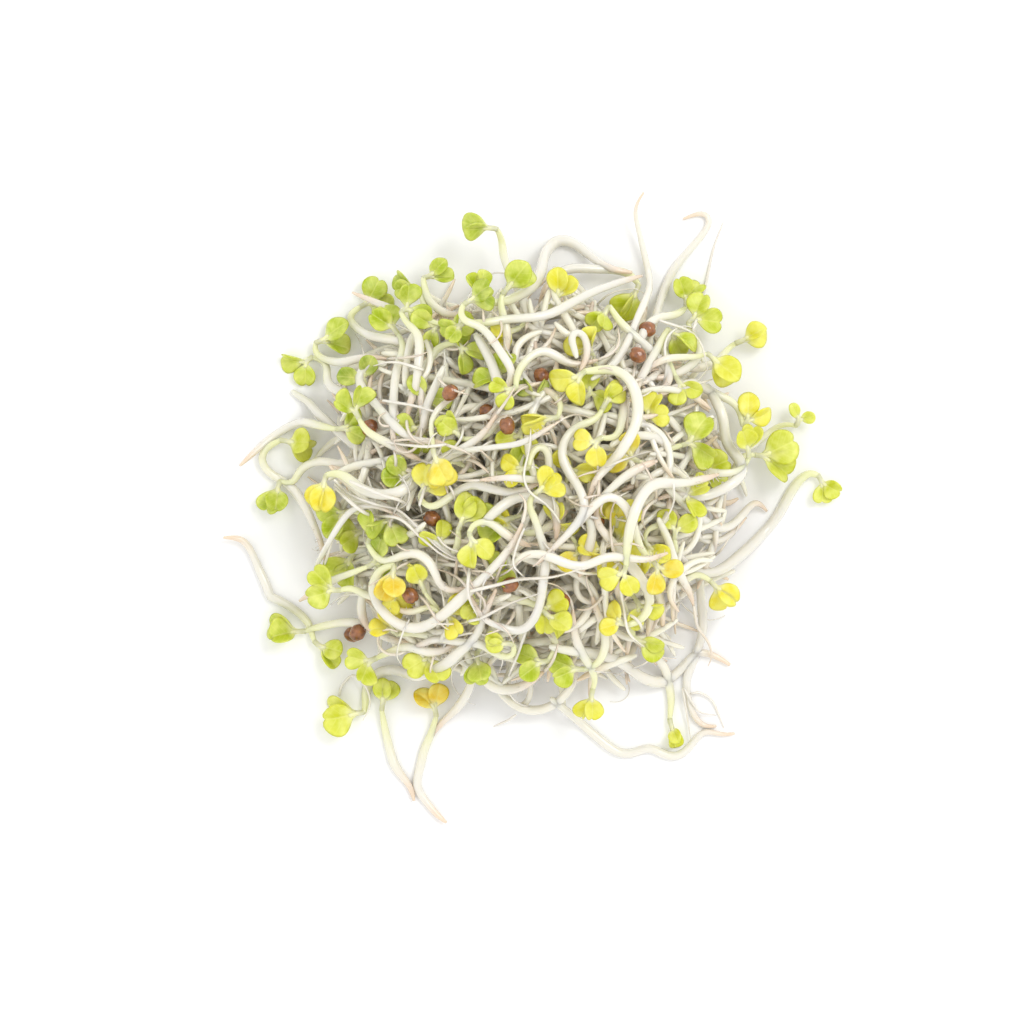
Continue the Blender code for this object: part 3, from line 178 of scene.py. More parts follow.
LEFT_SIDE = [
    sprout([(-25, 1.6), (-23.6, 1.9), (-22, 1), (-20.4, -0.3), (-18, -0.9), (-15.5, -0.4),
            (-13, 1.3), (-10.5, 3.4), (-8, 5), (-5.5, 6.7), (-3.8, 9)], (-25.6, -0.5, 3.6, 10),
           (1.0, 0.95), (2, 0), THICK_STEM),
    sprout([(-23.7, 7.3), (-26.5, 7.6), (-29.5, 7.3), (-32, 6.4), (-34, 4.7), (-35.9, 2.8)],
           (-22.2, 7.5, 3, 35), (1.0, 0), (0, 3)),
    sprout([(-21, 8.7), (-20.2, 7.2), (-18.2, 5.8), (-15.6, 4.4), (-13, 3)], (-22, 10.5, 3.4, 38),
           (1, 0.9)),
    sprout([(-30.8, 6), (-32.8, 4.9), (-33.3, 3.2), (-32, 1.6), (-29.8, 0.3), (-28, -1.9), (-27, -4),
            (-25.9, -6.5), (-25.4, -9)], (-28.7, 5.5, 3.6, 8), (0.5, 0.4), (1.5, 0)),
    sprout([(-31, 0.9), (-29.4, 0.4), (-28.7, 2), (-27.6, 3.2), (-25.6, 3.5), (-23.4, 2.9),
            (-21, 3.6), (-18.5, 5)], (-31.5, -1, 3.4, 8), (0.2, 0.75), (1.2, 0)),
    sprout([(-19.9, -6.8), (-19.3, -8), (-17.8, -8.9), (-15.5, -9.2), (-13.2, -10), (-11.3, -12),
            (-9.3, -13), (-7, -12.3)], (-18.8, -5.2, 3.4, 38), (0.9, 0.92)),
    sprout([(-16.5, -9.8), (-18.2, -10.3), (-19.3, -12.3), (-18.3, -14.6), (-16.3, -16.7),
            (-13.8, -17.4), (-11, -16.1), (-7.5, -13), (-4.5, -10), (-1.8, -7), (-0.7, -4.4)],
           (-17, -12, 3.6, 14), (0.97, 1.05), radius=THICK_STEM),
    sprout([(-12.9, -12.9), (-12.2, -14), (-11.3, -14.8), (-10.9, -17), (-11.4, -20)],
           (-13.6, -11, 3.2, 5), (0.9, 0.8), radius=0.5),
    sprout([(-10.9, -15.8), (-12.2, -14.6), (-13.8, -15), (-15.6, -15.3), (-17.4, -14.6)],
           (-9.5, -15.9, 3.2, 50), (0.95, 0.9), radius=0.5),
    sprout([(-16.2, -18.2), (-14, -18), (-11, -18.6), (-8, -17)], (-17.6, -16.9, 3, 40), (0.9, 0.85)),
    sprout([(-18.9, -21.2), (-17, -20.3), (-14.8, -19.6), (-12.5, -20.3), (-10.2, -20.4), (-8, -18.8)],
           (-20.5, -21.9, 3.2, 38), (0.9, 0.85), (1, 0)),
    sprout([(-1.9, -18.9), (-1.6, -20.1), (-2.7, -21), (-4.3, -20.2), (-6.2, -19.1), (-9, -18.9),
            (-12, -19.2), (-15, -20.3)], (-3.1, -18.8, 2.6, 15), (1, 0.9)),
    sprout([(-23.4, -12.7), (-21.8, -12.1), (-19.9, -12.8), (-17.8, -13.6), (-15, -13)],
           (-25.5, -12.3, 3.6, 34), (0.85, 0.75), (1.5, 0)),
    sprout([(-26, -10), (-25.3, -8.3), (-24.3, -6), (-22.8, -4), (-20.8, -2.9), (-18.5, -2.8),
            (-16.2, -3.8)], None, (1.0, 0.95), radius=THIN_STEM),
    sprout([(-26.3, -16.8), (-24.2, -16), (-22.2, -16.4), (-20, -17.6), (-17, -18.9), (-13.5, -19.5)],
           (-28.3, -16.8, 4, 12), (0.3, 0.6), (1.5, 0)),
    sprout([(-28.4, -20.2), (-29.9, -18.3), (-31.1, -16), (-32.3, -13), (-33.7, -10), (-34.7, -7.6),
            (-35.8, -6.3), (-38, -6.2)], (-26.8, -21.4, 3.4, 20), (0, 0), (0.8, 1.5)),
    sprout([(-20.3, -12.6), (-21, -14.5), (-20.5, -16.5), (-19.2, -17.9)], None, (0.7, 0.75)),
    sprout([(-20.3, -28), (-19.6, -26.4), (-17.8, -25), (-15, -24.1), (-12, -22.7), (-9.2, -20.5),
            (-7, -18), (-5.3, -15.3), (-4, -12.6)], (-23.3, -28.2, 4.4, 10), (0.8, 0.98), (1, 0),
           THICK_STEM),
    sprout([(-18.3, -27.6), (-17.9, -30), (-17.2, -33), (-16.4, -36), (-15.2, -39.3)],
           (-17.9, -25.8, 3, 15), (0.3, 0), (1, 0.6)),
    sprout([(-12.1, -28.5), (-12.9, -31), (-13.2, -34), (-12.7, -37.3), (-11.8, -40.3), (-10.2, -41.8)],
           (-12.8, -26.1, 3.4, 25), (0.3, 0), (1.2, 0.8)),
    sprout([(-6.7, -21.3), (-6.7, -23.6), (-7.6, -25.6), (-9, -28), (-11.1, -30.9)], None, (0.9, 0.1)),
    sprout([(-22, -3), (-19.5, -3.6), (-16.5, -5), (-13.5, -7), (-10.5, -8.8)], (-23.7, -3.6, 3.6, 32),
           (0.6, 0.7)),
    sprout([(-20.2, -5.2), (-17, -6), (-13, -6.5), (-9.5, -8)], (-22, -5.6, 3.4, 20), (0.5, 0.7)),
    sprout([(-22.2, -7.6), (-19.5, -7), (-16, -7.5), (-12.5, -9)], (-23.2, -9, 3.4, 22), (0.6, 0.6)),
    sprout([(-24, 0.5), (-21.5, -1.6), (-19, -2.2), (-16, -3.2), (-13.5, -5), (-11, -7.3),
            (-8.5, -8.8), (-5.5, -9.2)], None, (0.8, 0.9), radius=THIN_STEM),
]

TOP_SIDE = [
    sprout([(-3.9, 32.2), (-3.2, 30.8), (-3.1, 28.8), (-2.3, 26.8), (-1, 24), (0.3, 20.5), (1, 17)],
           (-5.7, 32.4, 3.6, 5), (0.5, 0.8), (7, 0)),
    sprout([(-5.9, 23.5), (-4, 23), (-1.5, 23.8), (0.6, 25), (1.7, 27), (2, 29), (3.2, 30.7),
            (4.8, 31), (6.6, 30), (8.3, 28.4), (10.5, 27.2), (13, 26.8)], (-6.5, 25.5, 2.8, 30),
           (0.9, 0.5), (2, 2), THICK_STEM),
    sprout([(-7.6, 20.8), (-4, 20.8), (0, 21), (2.8, 21.5), (5.5, 23), (8.5, 24.5), (11.5, 25.6),
            (14, 26.2)], (-9.4, 19.8, 2.8, 22), (1, 0.9), (1, 1)),
    sprout([(-8, 22.6), (-8.6, 21.2), (-7.8, 19.9), (-5.8, 19.2), (-4.1, 17.7), (-3, 15.8),
            (-2.4, 13.6), (-3.4, 10.5)], (-6.5, 23.3, 3.2, 14), (1.1, 0.97), (2, 0)),
    sprout([(-6.5, 18.8), (-5.5, 17.2), (-4.5, 15.3), (-4, 13), (-3.9, 10), (-5, 7)], None, (0.9, 0.9),
           radius=THICK_STEM),
    sprout([(-8.8, 17.9), (-10.5, 17.8), (-12, 16.5), (-12.6, 14), (-13.1, 11), (-13.3, 8)],
           (-7.4, 16.3, 3.2, 40), (0.82, 0.85)),
    sprout([(-15.9, 21.8), (-15.2, 20.4), (-13.8, 19.4), (-13.4, 17.4), (-13.8, 14.5), (-14.6, 11.5),
            (-15, 8.5)], (-14.2, 22.8, 3.2, 58), (1, 0.9), (1.5, 0)),
    sprout([(-20.8, 22.7), (-22.5, 21.5), (-22.6, 19.9), (-20.5, 19), (-18, 18.7), (-15, 18.2),
            (-11.5, 17.5)], (-19.2, 23.5, 3.2, 38), (0.9, 0.7), (1.5, 0)),
    sprout([(-26.5, 18.2), (-26.8, 17), (-25.3, 16), (-23, 15.6), (-20.5, 16.2), (-17.5, 16)],
           (-24.1, 18.7, 4, 28), (0.9, 0.75), (1.5, 0)),
    sprout([(-26.9, 16.4), (-25.3, 16.1), (-24.7, 14.8), (-25.2, 13.2), (-23.5, 12), (-20.5, 11),
            (-17.5, 10.4)], (-28.2, 15.3, 3.2, 46), (0.7, 0.8)),
    sprout([(-28.4, 13.8), (-27.3, 11.5), (-26.3, 9.3), (-24.8, 8), (-22.5, 6), (-20, 4.2), (-17, 3)],
           None, (0.5, 0.7)),
    sprout([(-13.7, 24.6), (-13.3, 22.8), (-12.4, 20.5), (-11.8, 18), (-11.5, 15)], (-15.3, 24.9, 2.8, 20),
           (0.85, 0.7), (1, 0)),
    sprout([(-13, 26.2), (-12.6, 24.5), (-11.4, 22.6), (-9.6, 21.4), (-7, 21.8)], (-11.7, 26.6, 3, 30),
           (0.9, 0.7), (1.5, 0)),
    sprout([(-3.3, 24), (-3.6, 22.4), (-2.8, 20.3), (-2.6, 18.2), (-2.9, 15.6)], (-1.3, 26, 4.4, 6),
           (1, 0.8), (2, 0)),
    sprout([(10.1, 22.6), (11.4, 20.6), (13.3, 18.8), (15.5, 17), (17.3, 14.8), (17.4, 13), (15.5, 11.6)],
           (8.8, 20.6, 2.8, 14), (0.82, 0.8), (1, 0)),
    sprout([(14, 25.6), (13, 26.9), (10, 27.3), (7, 27.4), (4.5, 27.2), (2.5, 25.6), (1.4, 23)],
           (12.9, 23.4, 4.2, 8), (0.7, 0.5), (1, 0)),
    sprout([(19.7, 22.5), (18.5, 21.5), (16.5, 21.3), (14.8, 20.4), (13.7, 18), (13.2, 15)],
           (19.9, 24.4, 3.2, 24), (0.8, 0.8), (1, 0)),
    sprout([(19.6, 20.2), (19.8, 18.6), (21, 17), (20.3, 15.3), (18, 13.8), (15, 13.6)],
           (21.3, 21.3, 3.4, 40), (0.9, 0.75), (1, 0)),
    sprout([(17.4, 19.8), (16.2, 17.8), (14.8, 15.3), (13.6, 13), (12.4, 10.5)], (18.7, 18.4, 3.4, 22),
           (0.8, 0.92)),
    sprout([(26, 18.1), (24.8, 17.4), (24.1, 16), (22.8, 15.2), (20.5, 14.8), (17.5, 15)],
           (27.9, 18.8, 3.4, 8), (0.9, 0.7), (2.5, 0)),
    sprout([(22.3, 16.7), (21, 16.2), (19, 16.2), (16.5, 15.8), (14, 14.2)], (24.3, 14.6, 4.2, 8),
           (1, 0.8), (1.5, 0), 0.5),
    sprout([(8.2, 13), (10.2, 14.7), (11.8, 16.6), (12.8, 19.3), (14.2, 22.6), (15.1, 25.6),
            (14.6, 28.8), (13.9, 31.8), (13.3, 34.8), (14.4, 36.8)], None, (1.0, 0.5), (0, 4), 0.5),
    sprout([(13.5, 14.6), (14.8, 17.8), (15.8, 21), (16.8, 24.2), (18.2, 27.3), (20.5, 30.1),
            (22.3, 32.3), (22.8, 33.9), (21.6, 34.4), (19.4, 33.6)], None, (0.7, 0), (0, 0.5), 0.55),
    sprout([(-16.2, 19.1), (-15.4, 17.4), (-16.2, 15), (-16.6, 12), (-16.7, 8.5), (-16.4, 4.5)],
           (-17.4, 20.7, 3.4, 20), (0.82, 0.95)),
    sprout([(-10.4, 15), (-11.5, 12.4), (-12.4, 9.8), (-13, 7), (-15, 5)], None, (0.97, 0.85)),
    sprout([(-17.6, 15.4), (-19.6, 15.4), (-21, 14.3), (-21, 12.8), (-19.5, 11), (-17.7, 8.9),
            (-15.5, 6.7), (-13, 5.2), (-10, 4.4)], None, (0.85, 1.0)),
    sprout([(-8.2, 6), (-6.5, 5.8), (-4.5, 7), (-3, 8.7), (-1.2, 9.6)], (-9.3, 7.2, 3, 12), (0.9, 0.85)),
]

RIGHT_SIDE = [
    sprout([(23, 13.4), (23.8, 10.5), (24.6, 7.5), (25, 4.5), (24.6, 1.8), (23.3, -0.2), (21, -1.2),
            (18.5, -0.7), (16, -1.5)], None, (0.85, 0.8), radius=THICK_STEM),
    sprout([(27, 7.2), (26.5, 9.3), (25.3, 11.2), (23.4, 12.8), (21, 13.4), (18, 12.4), (15.5, 11)],
           (28.4, 8.9, 3.6, 34), (0.8, 0.8), (2, 0)),
    sprout([(33.5, 7.7), (32.2, 8.1), (30.5, 7.3), (28.8, 6.3), (26.5, 6.2), (23.5, 6.8), (20.5, 8)],
           (33.9, 8.8, 2.2, 50), (0.4, 0.7), (2, 0), 0.5),
    sprout([(27, 3.7), (26.3, 2.9), (24.5, 2.8), (22, 3.5), (19, 4.5)], (26.9, 5.6, 3.2, 15), (0.9, 0.6),
           (1, 0), 0.55),
    sprout([(28.4, 3.2), (27, 3.2), (26.1, 2), (24.8, 0.8), (22.3, 0.4), (19.5, 1.6)], (31, 3, 4.4, 28),
           (0.5, 0.6), (1, 0)),
    sprout([(36.3, 1.5), (35.4, 2.1), (34.2, 1.3), (33.1, 0), (31.3, -3), (29, -6), (26, -8.8),
            (23.5, -10.4), (21, -10.1), (18.8, -8.4), (17, -6)], (37, 0.2, 2.6, 30), (0, 0.8), (1, 0),
           THICK_STEM),
    sprout([(17, 0), (19, -1.9), (21.5, -3.8), (24, -5.2), (25.8, -4.4), (27.5, -2.5), (28.6, -1.6),
            (30, -3)], None, (0.9, 0.2), (0, 0.5)),
    sprout([(19.2, 5.3), (16.5, 4.6), (13.5, 4), (10.5, 2.6)], (21.1, 5.9, 3.8, 44), (0.72, 0.75)),
    sprout([(20.2, 2.9), (17.5, 2.2), (14.5, 1), (11.5, -0.6)], (22.2, 2.9, 4, 24), (0.6, 0.75)),
    sprout([(11.5, -5.5), (11.2, -7.5), (10.8, -10), (9.5, -12.5)], (11.2, -3.4, 3.6, 10), (0.82, 0.8)),
    sprout([(14.4, -6.6), (14.6, -4.8), (16.2, -4.4), (17.6, -2.6), (17.9, -0.2)], (15.4, -7.9, 3, 26),
           (0.82, 0.8), radius=0.5),
    sprout([(16.2, -4.2), (17, -6.6), (17.8, -9), (19, -11), (20.2, -13), (20.6, -14.6)], None,
           (0.97, 0.8)),
    sprout([(22.8, -12.2), (21.5, -11.4), (19.5, -11.6), (17.5, -12.4), (15, -12.5)],
           (24.2, -13.8, 3.4, 18), (0.6, 0.7), (1.5, 0)),
    sprout([(19.8, -8.5), (21.2, -12), (21.7, -15), (21.8, -18), (20.8, -21), (19.3, -23.6),
            (19.5, -25.6), (21, -28), (23.4, -28.6)], None, (0.5, 0), (0, 0.4)),
    sprout([(3.5, -19.7), (6.5, -20.7), (9.5, -20.9), (12, -22), (14.5, -23.8), (17.2, -24.3),
            (19.6, -22.4), (21, -20.6), (23.4, -21), (25.2, -22.1)], None, (0.85, 0), (0, 0.6), THICK_STEM),
    sprout([(6.8, -22.4), (8.6, -21.8), (9.6, -19.5), (9.5, -16.5), (8.4, -13.5)], (4.9, -22.3, 3.4, 25),
           (0.82, 0.85)),
    sprout([(8, -25.1), (8.4, -23.6), (7.2, -21.5), (5.8, -18.5), (5.5, -15)], (7.7, -27, 3.2, 12),
           (0.8, 0.8), (1, 0)),
    sprout([(2.8, -26.2), (5.5, -28.4), (8.5, -31), (11.3, -33.1), (13.2, -33.1), (15.6, -32.2),
            (18, -32.7), (20.3, -31.9), (23, -31.6), (25.8, -30.7)], None, (0.5, 0), (0, 0.5)),
    sprout([(17.7, -29), (17.9, -27.2), (18.2, -25.4), (17.6, -22.8), (15.4, -20.6), (13, -18.6)],
           (18.3, -30.9, 2.6, 8), (0, 0.5), (0.8, 0)),
    sprout([(-4, -25), (-2, -26.9), (0.3, -27.8), (2.8, -27.3), (4.6, -25.8), (6, -23.4), (4.8, -20.5)],
           None, (0.4, 0.5)),
    sprout([(-6.4, -19.8), (-6.2, -22.3), (-5, -24.2), (-3, -25.1), (-0.5, -24.6), (2, -22.8)], None,
           (0.8, 0.7), radius=THICK_STEM),
    sprout([(2.2, -21.6), (3, -19.8), (2.3, -17.5), (2.6, -14)], (0.5, -21.8, 3.4, 30), (0.75, 0.75)),
    sprout([(-5.5, -19.7), (-4, -18), (-3.2, -16), (-3.6, -13.5)], (-5.4, -21.3, 3.2, 10), (0.7, 0.8)),
    sprout([(13.2, -18.6), (12.4, -16), (11.2, -13.2), (11, -10.5)], (14.9, -19.4, 3.4, 14), (0.82, 0.8)),
    sprout([(-1.6, -5.3), (0.6, -5.6), (3, -4.6), (5, -2.5)], (-3.2, -4.4, 3.2, 20), (0.82, 0.8)),
]

SEEDS = [  # (x, y, level) of each loose seed coat
    (-9.5, 10.8, 0.96), (-2.4, 7.9, 0.98), (13.2, 16.5, 0.95), (-2.3, -12.1, 0.9), (4.3, -14.3, 0.85),
    (-14.4, -13.8, 0.9), (-22, -18.4, 0.3),
]

DRAWN = BED + RIGHT_SIDE + LEFT_SIDE + TOP_SIDE + CROWN


def fillers():
    """Leafless sprouts under the drawn ones, bowed across the heap at random."""
    draw = np.random.default_rng(FILLER_SEED)
    made = []
    for _ in range(FILLERS):
        middle = draw.uniform(-13, 13, 2)
        turn, length, bow = draw.uniform(0, 2 * math.pi), draw.uniform(16, 28), draw.uniform(-6, 6)
        along = np.array([math.cos(turn), math.sin(turn)])
        across = np.array([-along[1], along[0]])
        shares = (-0.5, -0.2, 0.1, 0.5)
        route = [tuple(middle + along * length * t + across * bow * (1 - 4 * t * t)) for t in shares]
        made.append(sprout(route, level=tuple(draw.uniform(0.15, 0.7, 2)), radius=THICK_STEM))
    return made


def dome(plan):
    """Height of the heap's surface over points in plan."""
    far = (plan**2).sum(axis=-1) / HEAP_RADIUS**2
    return HEAP_HEIGHT * np.clip(1 - far, 0, 1) ** DOME_POWER


def smooth_line(points, step):
    """The Catmull-Rom curve through the points, resampled at an even spacing."""
    points = np.array(points, float)
    ends = np.vstack([2 * points[0] - points[1], points, 2 * points[-1] - points[-2]])
    t = np.linspace(0, 1, 12, endpoint=False)[:, None]
    pieces = []
    for a, b, c, d in zip(ends, ends[1:], ends[2:], ends[3:]):
        pieces.append(
            0.5 * (2 * b + (c - a) * t + (2 * a - 5 * b + 4 * c - d) * t**2
                   + (3 * b - a - 3 * c + d) * t**3)
        )
    line = np.vstack(pieces + [points[-1:]])
    along = np.concatenate([[0], np.cumsum(np.linalg.norm(np.diff(line, axis=0), axis=1))])
    count = max(4, round(along[-1] / step) + 1)
    even = np.linspace(0, along[-1], count)
    return np.stack([np.interp(even, along, line[:, k]) for k in range(line.shape[1])], axis=1)


def turned(vector, degrees):
    """A plan vector turned about the vertical."""
    a = math.radians(degrees)
    return np.array([
        vector[0] * math.cos(a) - vector[1] * math.sin(a),
        vector[0] * math.sin(a) + vector[1] * math.cos(a),
        vector[2],
    ])


def radius_profile(share, radius, leafy):
    """Radius along a stem, where share is 0 at the leaf end and 1 at the root's tip."""
    return radius * np.interp(share, [0, 0.12, 0.7, 1], [LEAF_NECK if leafy else CUT_END, 1, 1, ROOT_TIP])


class Strand:
    """A sprout's points while the heap is eased apart. Its leaves go ahead of them as one rigid lump."""

    def __init__(self, spec):
        self.spec = spec
        route = [*spec.route]
        if spec.leaf:
            x, y, length, _ = spec.leaf
            heading = np.array([x, y]) - route[0]
            reach = np.linalg.norm(heading)
            heading /= reach
            self.heading = np.array([*heading, LEAF_RISE])
            stalk = reach - 0.5 * length - LEAF_START
            if stalk > GAP:
                route.insert(0, tuple(route[0] + heading * stalk))
        plan = smooth_line(route, STEP)
        share = np.linspace(0, 1, len(plan))
        level = spec.level[0] * (1 - share) + spec.level[1] * share
        height = dome(plan) * level + spec.lift[0] * (1 - share) ** 2 + spec.lift[1] * share**3
        self.stem = np.column_stack([plan, np.maximum(height, FLOOR_SHARE * spec.radius)])
        self.radii = radius_profile(share, spec.radius, spec.leaf is not None)
        self.lobes, self.lump, self.lump_radius = [], np.zeros((0, 3)), 0
        if spec.leaf:
            self.lobes = self.lobe_directions()
            self.lump = np.vstack([self.lobe_balls(way, length) for way in self.lobes])
            self.lump_radius = LEAF_BALL * length

    def lobe_directions(self):
        """The ways that both seed leaves point, one a little above the other."""
        spread = self.spec.leaf[3]
        ways = []
        for side in (1, -1):
            pitch = math.radians(side * (FOLDED_PITCH - PITCH_LOSS * spread) + PAIR_PITCH)
            flat = turned(self.heading * [1, 1, 0], side * spread)
            ways.append(flat * math.cos(pitch) + np.array([0, 0, math.sin(pitch)]))
        return ways

    def lobe_balls(self, way, length):
        """Middles of the balls that keep a seed leaf's place free."""
        across = np.cross(way, [0, 0, 1.0])
        across /= np.linalg.norm(across)
        start = self.stem[0] + self.heading * LEAF_START
        return np.array([start + way * u * length + across * v * length for u, v in LEAF_BALLS])


class SeedCoat:
    """A loose seed coat's one point while the heap is eased apart."""

    def __init__(self, x, y, level):
        self.spec = None
        self.stem = np.array([[x, y, dome(np.array([x, y])) * level]])
        self.radii = np.array([SEED_RADIUS])
        self.lump, self.lump_radius = np.zeros((0, 3)), 0


class Heap:
    """All strands in one set of arrays, so that they can be eased apart together."""

    def __init__(self, strands):
        self.strands = strands
        self.starts = []
        points, radii, owner, rigid, back, ahead = [], [], [], [], [], []
        for number, strand in enumerate(strands):
            first = len(points) and sum(len(p) for p in points)
            self.starts.append(first)
            lump, stem = strand.lump, strand.stem
            size = len(lump) + len(stem)
            points.append(np.vstack([lump, stem]))
            radii += [strand.lump_radius] * len(lump) + list(strand.radii)
            owner += [number] * size
            rigid += [True] * len(lump) + [False] * len(stem)
            stem_first, last = first + len(lump), first + size - 1
            index = np.arange(first, first + size)
            back.append(np.where(index < stem_first, stem_first, np.maximum(index - 1, stem_first)))
            ahead.append(np.where(index < stem_first, stem_first, np.minimum(index + 1, last)))
        self.points = np.vstack(points)
        self.radii = np.array(radii)
        self.owner = np.array(owner)
        self.rigid = np.array(rigid)
        self.back, self.ahead = np.concatenate(back), np.concatenate(ahead)
        self.along = np.concatenate([[*[0] * len(s.lump), *range(len(s.stem))] for s in strands])
        self.fixed = self.owner == 0
        self.lumps = [
            (slice(first, first + len(strand.lump)), first + len(strand.lump))
            for first, strand in zip(self.starts, strands)
            if len(strand.lump)
        ]

    def stem_slice(self, number):
        first = self.starts[number] + len(self.strands[number].lump)
        return slice(first, first + len(self.strands[number].stem))

    def near_pairs(self, margin):
        """Pairs of points whose balls are within the margin, leaving out a strand's own neighbours."""
        found = []
        for low in range(0, len(self.points), 400):
            rows = slice(low, low + 400)
            away = np.linalg.norm(self.points[rows, None] - self.points[None], axis=2)
            reach = self.radii[rows, None] + self.radii[None] + margin
            i, j = np.nonzero(away < reach)
            i += low
            far_along = np.where(self.rigid[i], self.along[j] > LEAF_REACH, j - i > OWN_REACH)
            apart = (self.owner[i] != self.owner[j]) | (far_along & ~self.rigid[j])
            keep = (i < j) & apart
            found.append(np.column_stack([i[keep], j[keep]]))
        return np.vstack(found)

    def bundle(self):
        """Joins strands that lie closest into bundles, and returns each one's bundle and the welds.

        A weld is the pair of points where two stems are joined.
        """
        count = len(self.strands)
        stems = [number for number in range(count) if self.strands[number].spec]
        links = []
        for place, a in enumerate(stems):
            for b in stems[place + 1:]:
                first_a = self.stem_slice(a).start + WELD_MARGIN
                first_b = self.stem_slice(b).start + WELD_MARGIN
                points_a = self.points[first_a:self.stem_slice(a).stop - WELD_MARGIN]
                points_b = self.points[first_b:self.stem_slice(b).stop - WELD_MARGIN]
                if len(points_a) == 0 or len(points_b) == 0:
                    continue
                away = np.linalg.norm(points_a[:, None] - points_b[None], axis=2)
                i, j = np.unravel_index(np.argmin(away), away.shape)
                if away[i, j] < WELD_REACH:
                    links.append((round(float(away[i, j]), 6), a, b, first_a + i, first_b + j))
        bundle_of = list(range(count))
        welds = []
        for _, a, b, i, j in sorted(links):
            one, two = bundle_of[a], bundle_of[b]
            if one == two or bundle_of.count(one) + bundle_of.count(two) > BUNDLE_LIMIT:
                continue
            bundle_of = [one if g == two else g for g in bundle_of]
            welds.append((i, j))
        return bundle_of, np.array(welds)

    def smoothed(self, push):
        """A push shared with the points beside it, so that a stem bends instead of kinking."""
        for _ in range(SHARING):
            push = 0.5 * push + 0.25 * (push[self.back] + push[self.ahead])
        return PUSH_GAIN * push

    def ease(self, welds):
        """Moves the strands until they are clear of each other, and joined stems meet."""
        weld_i, weld_j = welds[:, 0], welds[:, 1]
        meet = WELD_DEPTH * (self.radii[weld_i] + self.radii[weld_j])
        welded = {}
        for i, j in welds:
            welded.setdefault((self.owner[i], self.owner[j]), []).append((i, j))
        floor = np.where(self.rigid, LEAF_FLOOR, FLOOR_SHARE) * self.radii
        for turn in range(ROUNDS):
            if turn % LOOK_EVERY == 0:
                pairs = self.near_pairs(GAP + LOOK_AROUND)
                pairs = pairs[~self.at_weld(pairs, welded)]
                i, j = pairs[:, 0], pairs[:, 1]
                need = self.radii[i] + self.radii[j] + GAP
            gap = self.points[i] - self.points[j]
            away = np.linalg.norm(gap, axis=1)
            short = np.clip(need - away, 0, None)
            way = gap * [PLAN_GIVE, PLAN_GIVE, 1.0]
            way[away < TINY] = [0, 0, 1]
            size = np.linalg.norm(way, axis=1)
            push = self.gathered(i, j, way / size[:, None] * (0.5 * short)[:, None])
            gap = self.points[weld_i] - self.points[weld_j]
            away = np.maximum(np.linalg.norm(gap, axis=1), TINY)
            pull = gap / away[:, None] * (0.5 * (meet - away))[:, None]
            push += self.gathered(weld_i, weld_j, pull)
            push = self.smoothed(push)
            self.move(push, floor)

    def gathered(self, i, j, push):
        """Equal and opposite pushes on both points of each pair, averaged over the pairs of a point."""
        total = np.zeros_like(self.points)
        count = len(self.points)
        for k in range(3):
            total[:, k] = np.bincount(i, push[:, k], count) - np.bincount(j, push[:, k], count)
        busy = (np.abs(push).sum(axis=1) > 0).astype(float)
        times = np.bincount(i, busy, count) + np.bincount(j, busy, count)
        return total / np.maximum(times, 1)[:, None] ** CROWDING

    def at_weld(self, pairs, welded):
        """True for pairs so near a weld that the two stems are meant to touch there."""
        near = np.zeros(len(pairs), bool)
        owners = self.owner[pairs]
        for (a, b), joints in welded.items():
            both = (owners[:, 0] == a) & (owners[:, 1] == b)
            for i, j in joints:
                near |= both & (np.abs(pairs[:, 0] - i) + np.abs(pairs[:, 1] - j) < WELD_ZONE)
        return near & ~self.rigid[pairs].any(axis=1)

    def move(self, push, floor):
        """Moves the points, with leaves as rigid lumps on the ends of their stems."""
        for lump, end in self.lumps:
            shared = LEAF_SHARE * push[lump].mean(axis=0) + (1 - LEAF_SHARE) * push[end]
            push[lump] = shared
            for k, part in enumerate(LUMP_PULL):
                push[end + k] = part * shared + (1 - part) * push[end + k]
        push[self.fixed] = 0
        self.points += push
        under = np.maximum(floor - self.points[:, 2], 0)
        under[self.fixed] = 0
        for lump, end in self.lumps:
            under[lump] = under[end] = max(under[lump].max(), under[end])
        self.points[:, 2] += under


def all_strands():
    """Every strand of the heap: the drawn sprouts, the fillers and the seed coats."""
    return [Strand(spec) for spec in DRAWN + fillers()] + [SeedCoat(*place) for place in SEEDS]


LOOK_SEED = 5  # first number of every seed below
DEEP_STEM_DRAWS, ROOT_DRAWS, TAIL_DRAWS, TANGLE_DRAWS, DEEP_LEAF_DRAWS, HAIR_DRAWS = range(1000, 7000, 1000)

FINE_STEP = 0.4  # spacing of the rings of a fine tube
SWELL = 0.95  # radius of a fine stem, for a line's radius of 1
STEM_PLACES = (0, 0.62, 0.9, 1)  # shares of a stem's length
STEM_WIDTHS = (1, 1, 0.66, 0.3)  # its width there
STEM_WAVE = 0.05  # share by which its width comes and goes
STEM_FLATNESS = (0.86, 1.0)
STEM_TINTS = (0, 0.6)
STEM_SIDES = 10
FINE_SIDES = 8
LYING = 0.8  # height of a lying stem's axis, as a share of its radius
GREEN_LENGTH = 4.5  # of a stem below its leaves that is greenish
BARE_GREEN = 0.15  # how green that is on a stem without leaves
TAN_LENGTH = 3.0  # of a root's tip that is tan
NECK_PLACES = (0, 0.4, 1.2, 3.0, 7.0)  # distances from a stem's upper end
NECK_WIDTHS = (0.5, 0.56, 0.66, 0.84, 1)  # its width there where it carries leaves
BLUNT_WIDTHS = (0.42, 0.62, 0.78, 0.92, 1)  # and where it carries none
LEAF_THICKNESS = 0.6
LEAF_REST = 0.03  # least height of a leaf over the table
LEAF_ROOM = 0.2  # that a leaf may rise over the top of the solids
LEAF_SIZES = (0.92, 1.08)
LEAF_ROLL = 0.42  # spread of a blade's roll about its length, in radians
LEAF_FOLD = (0.1, 0.65)  # how far each half of a blade is turned up along the middle, in radians
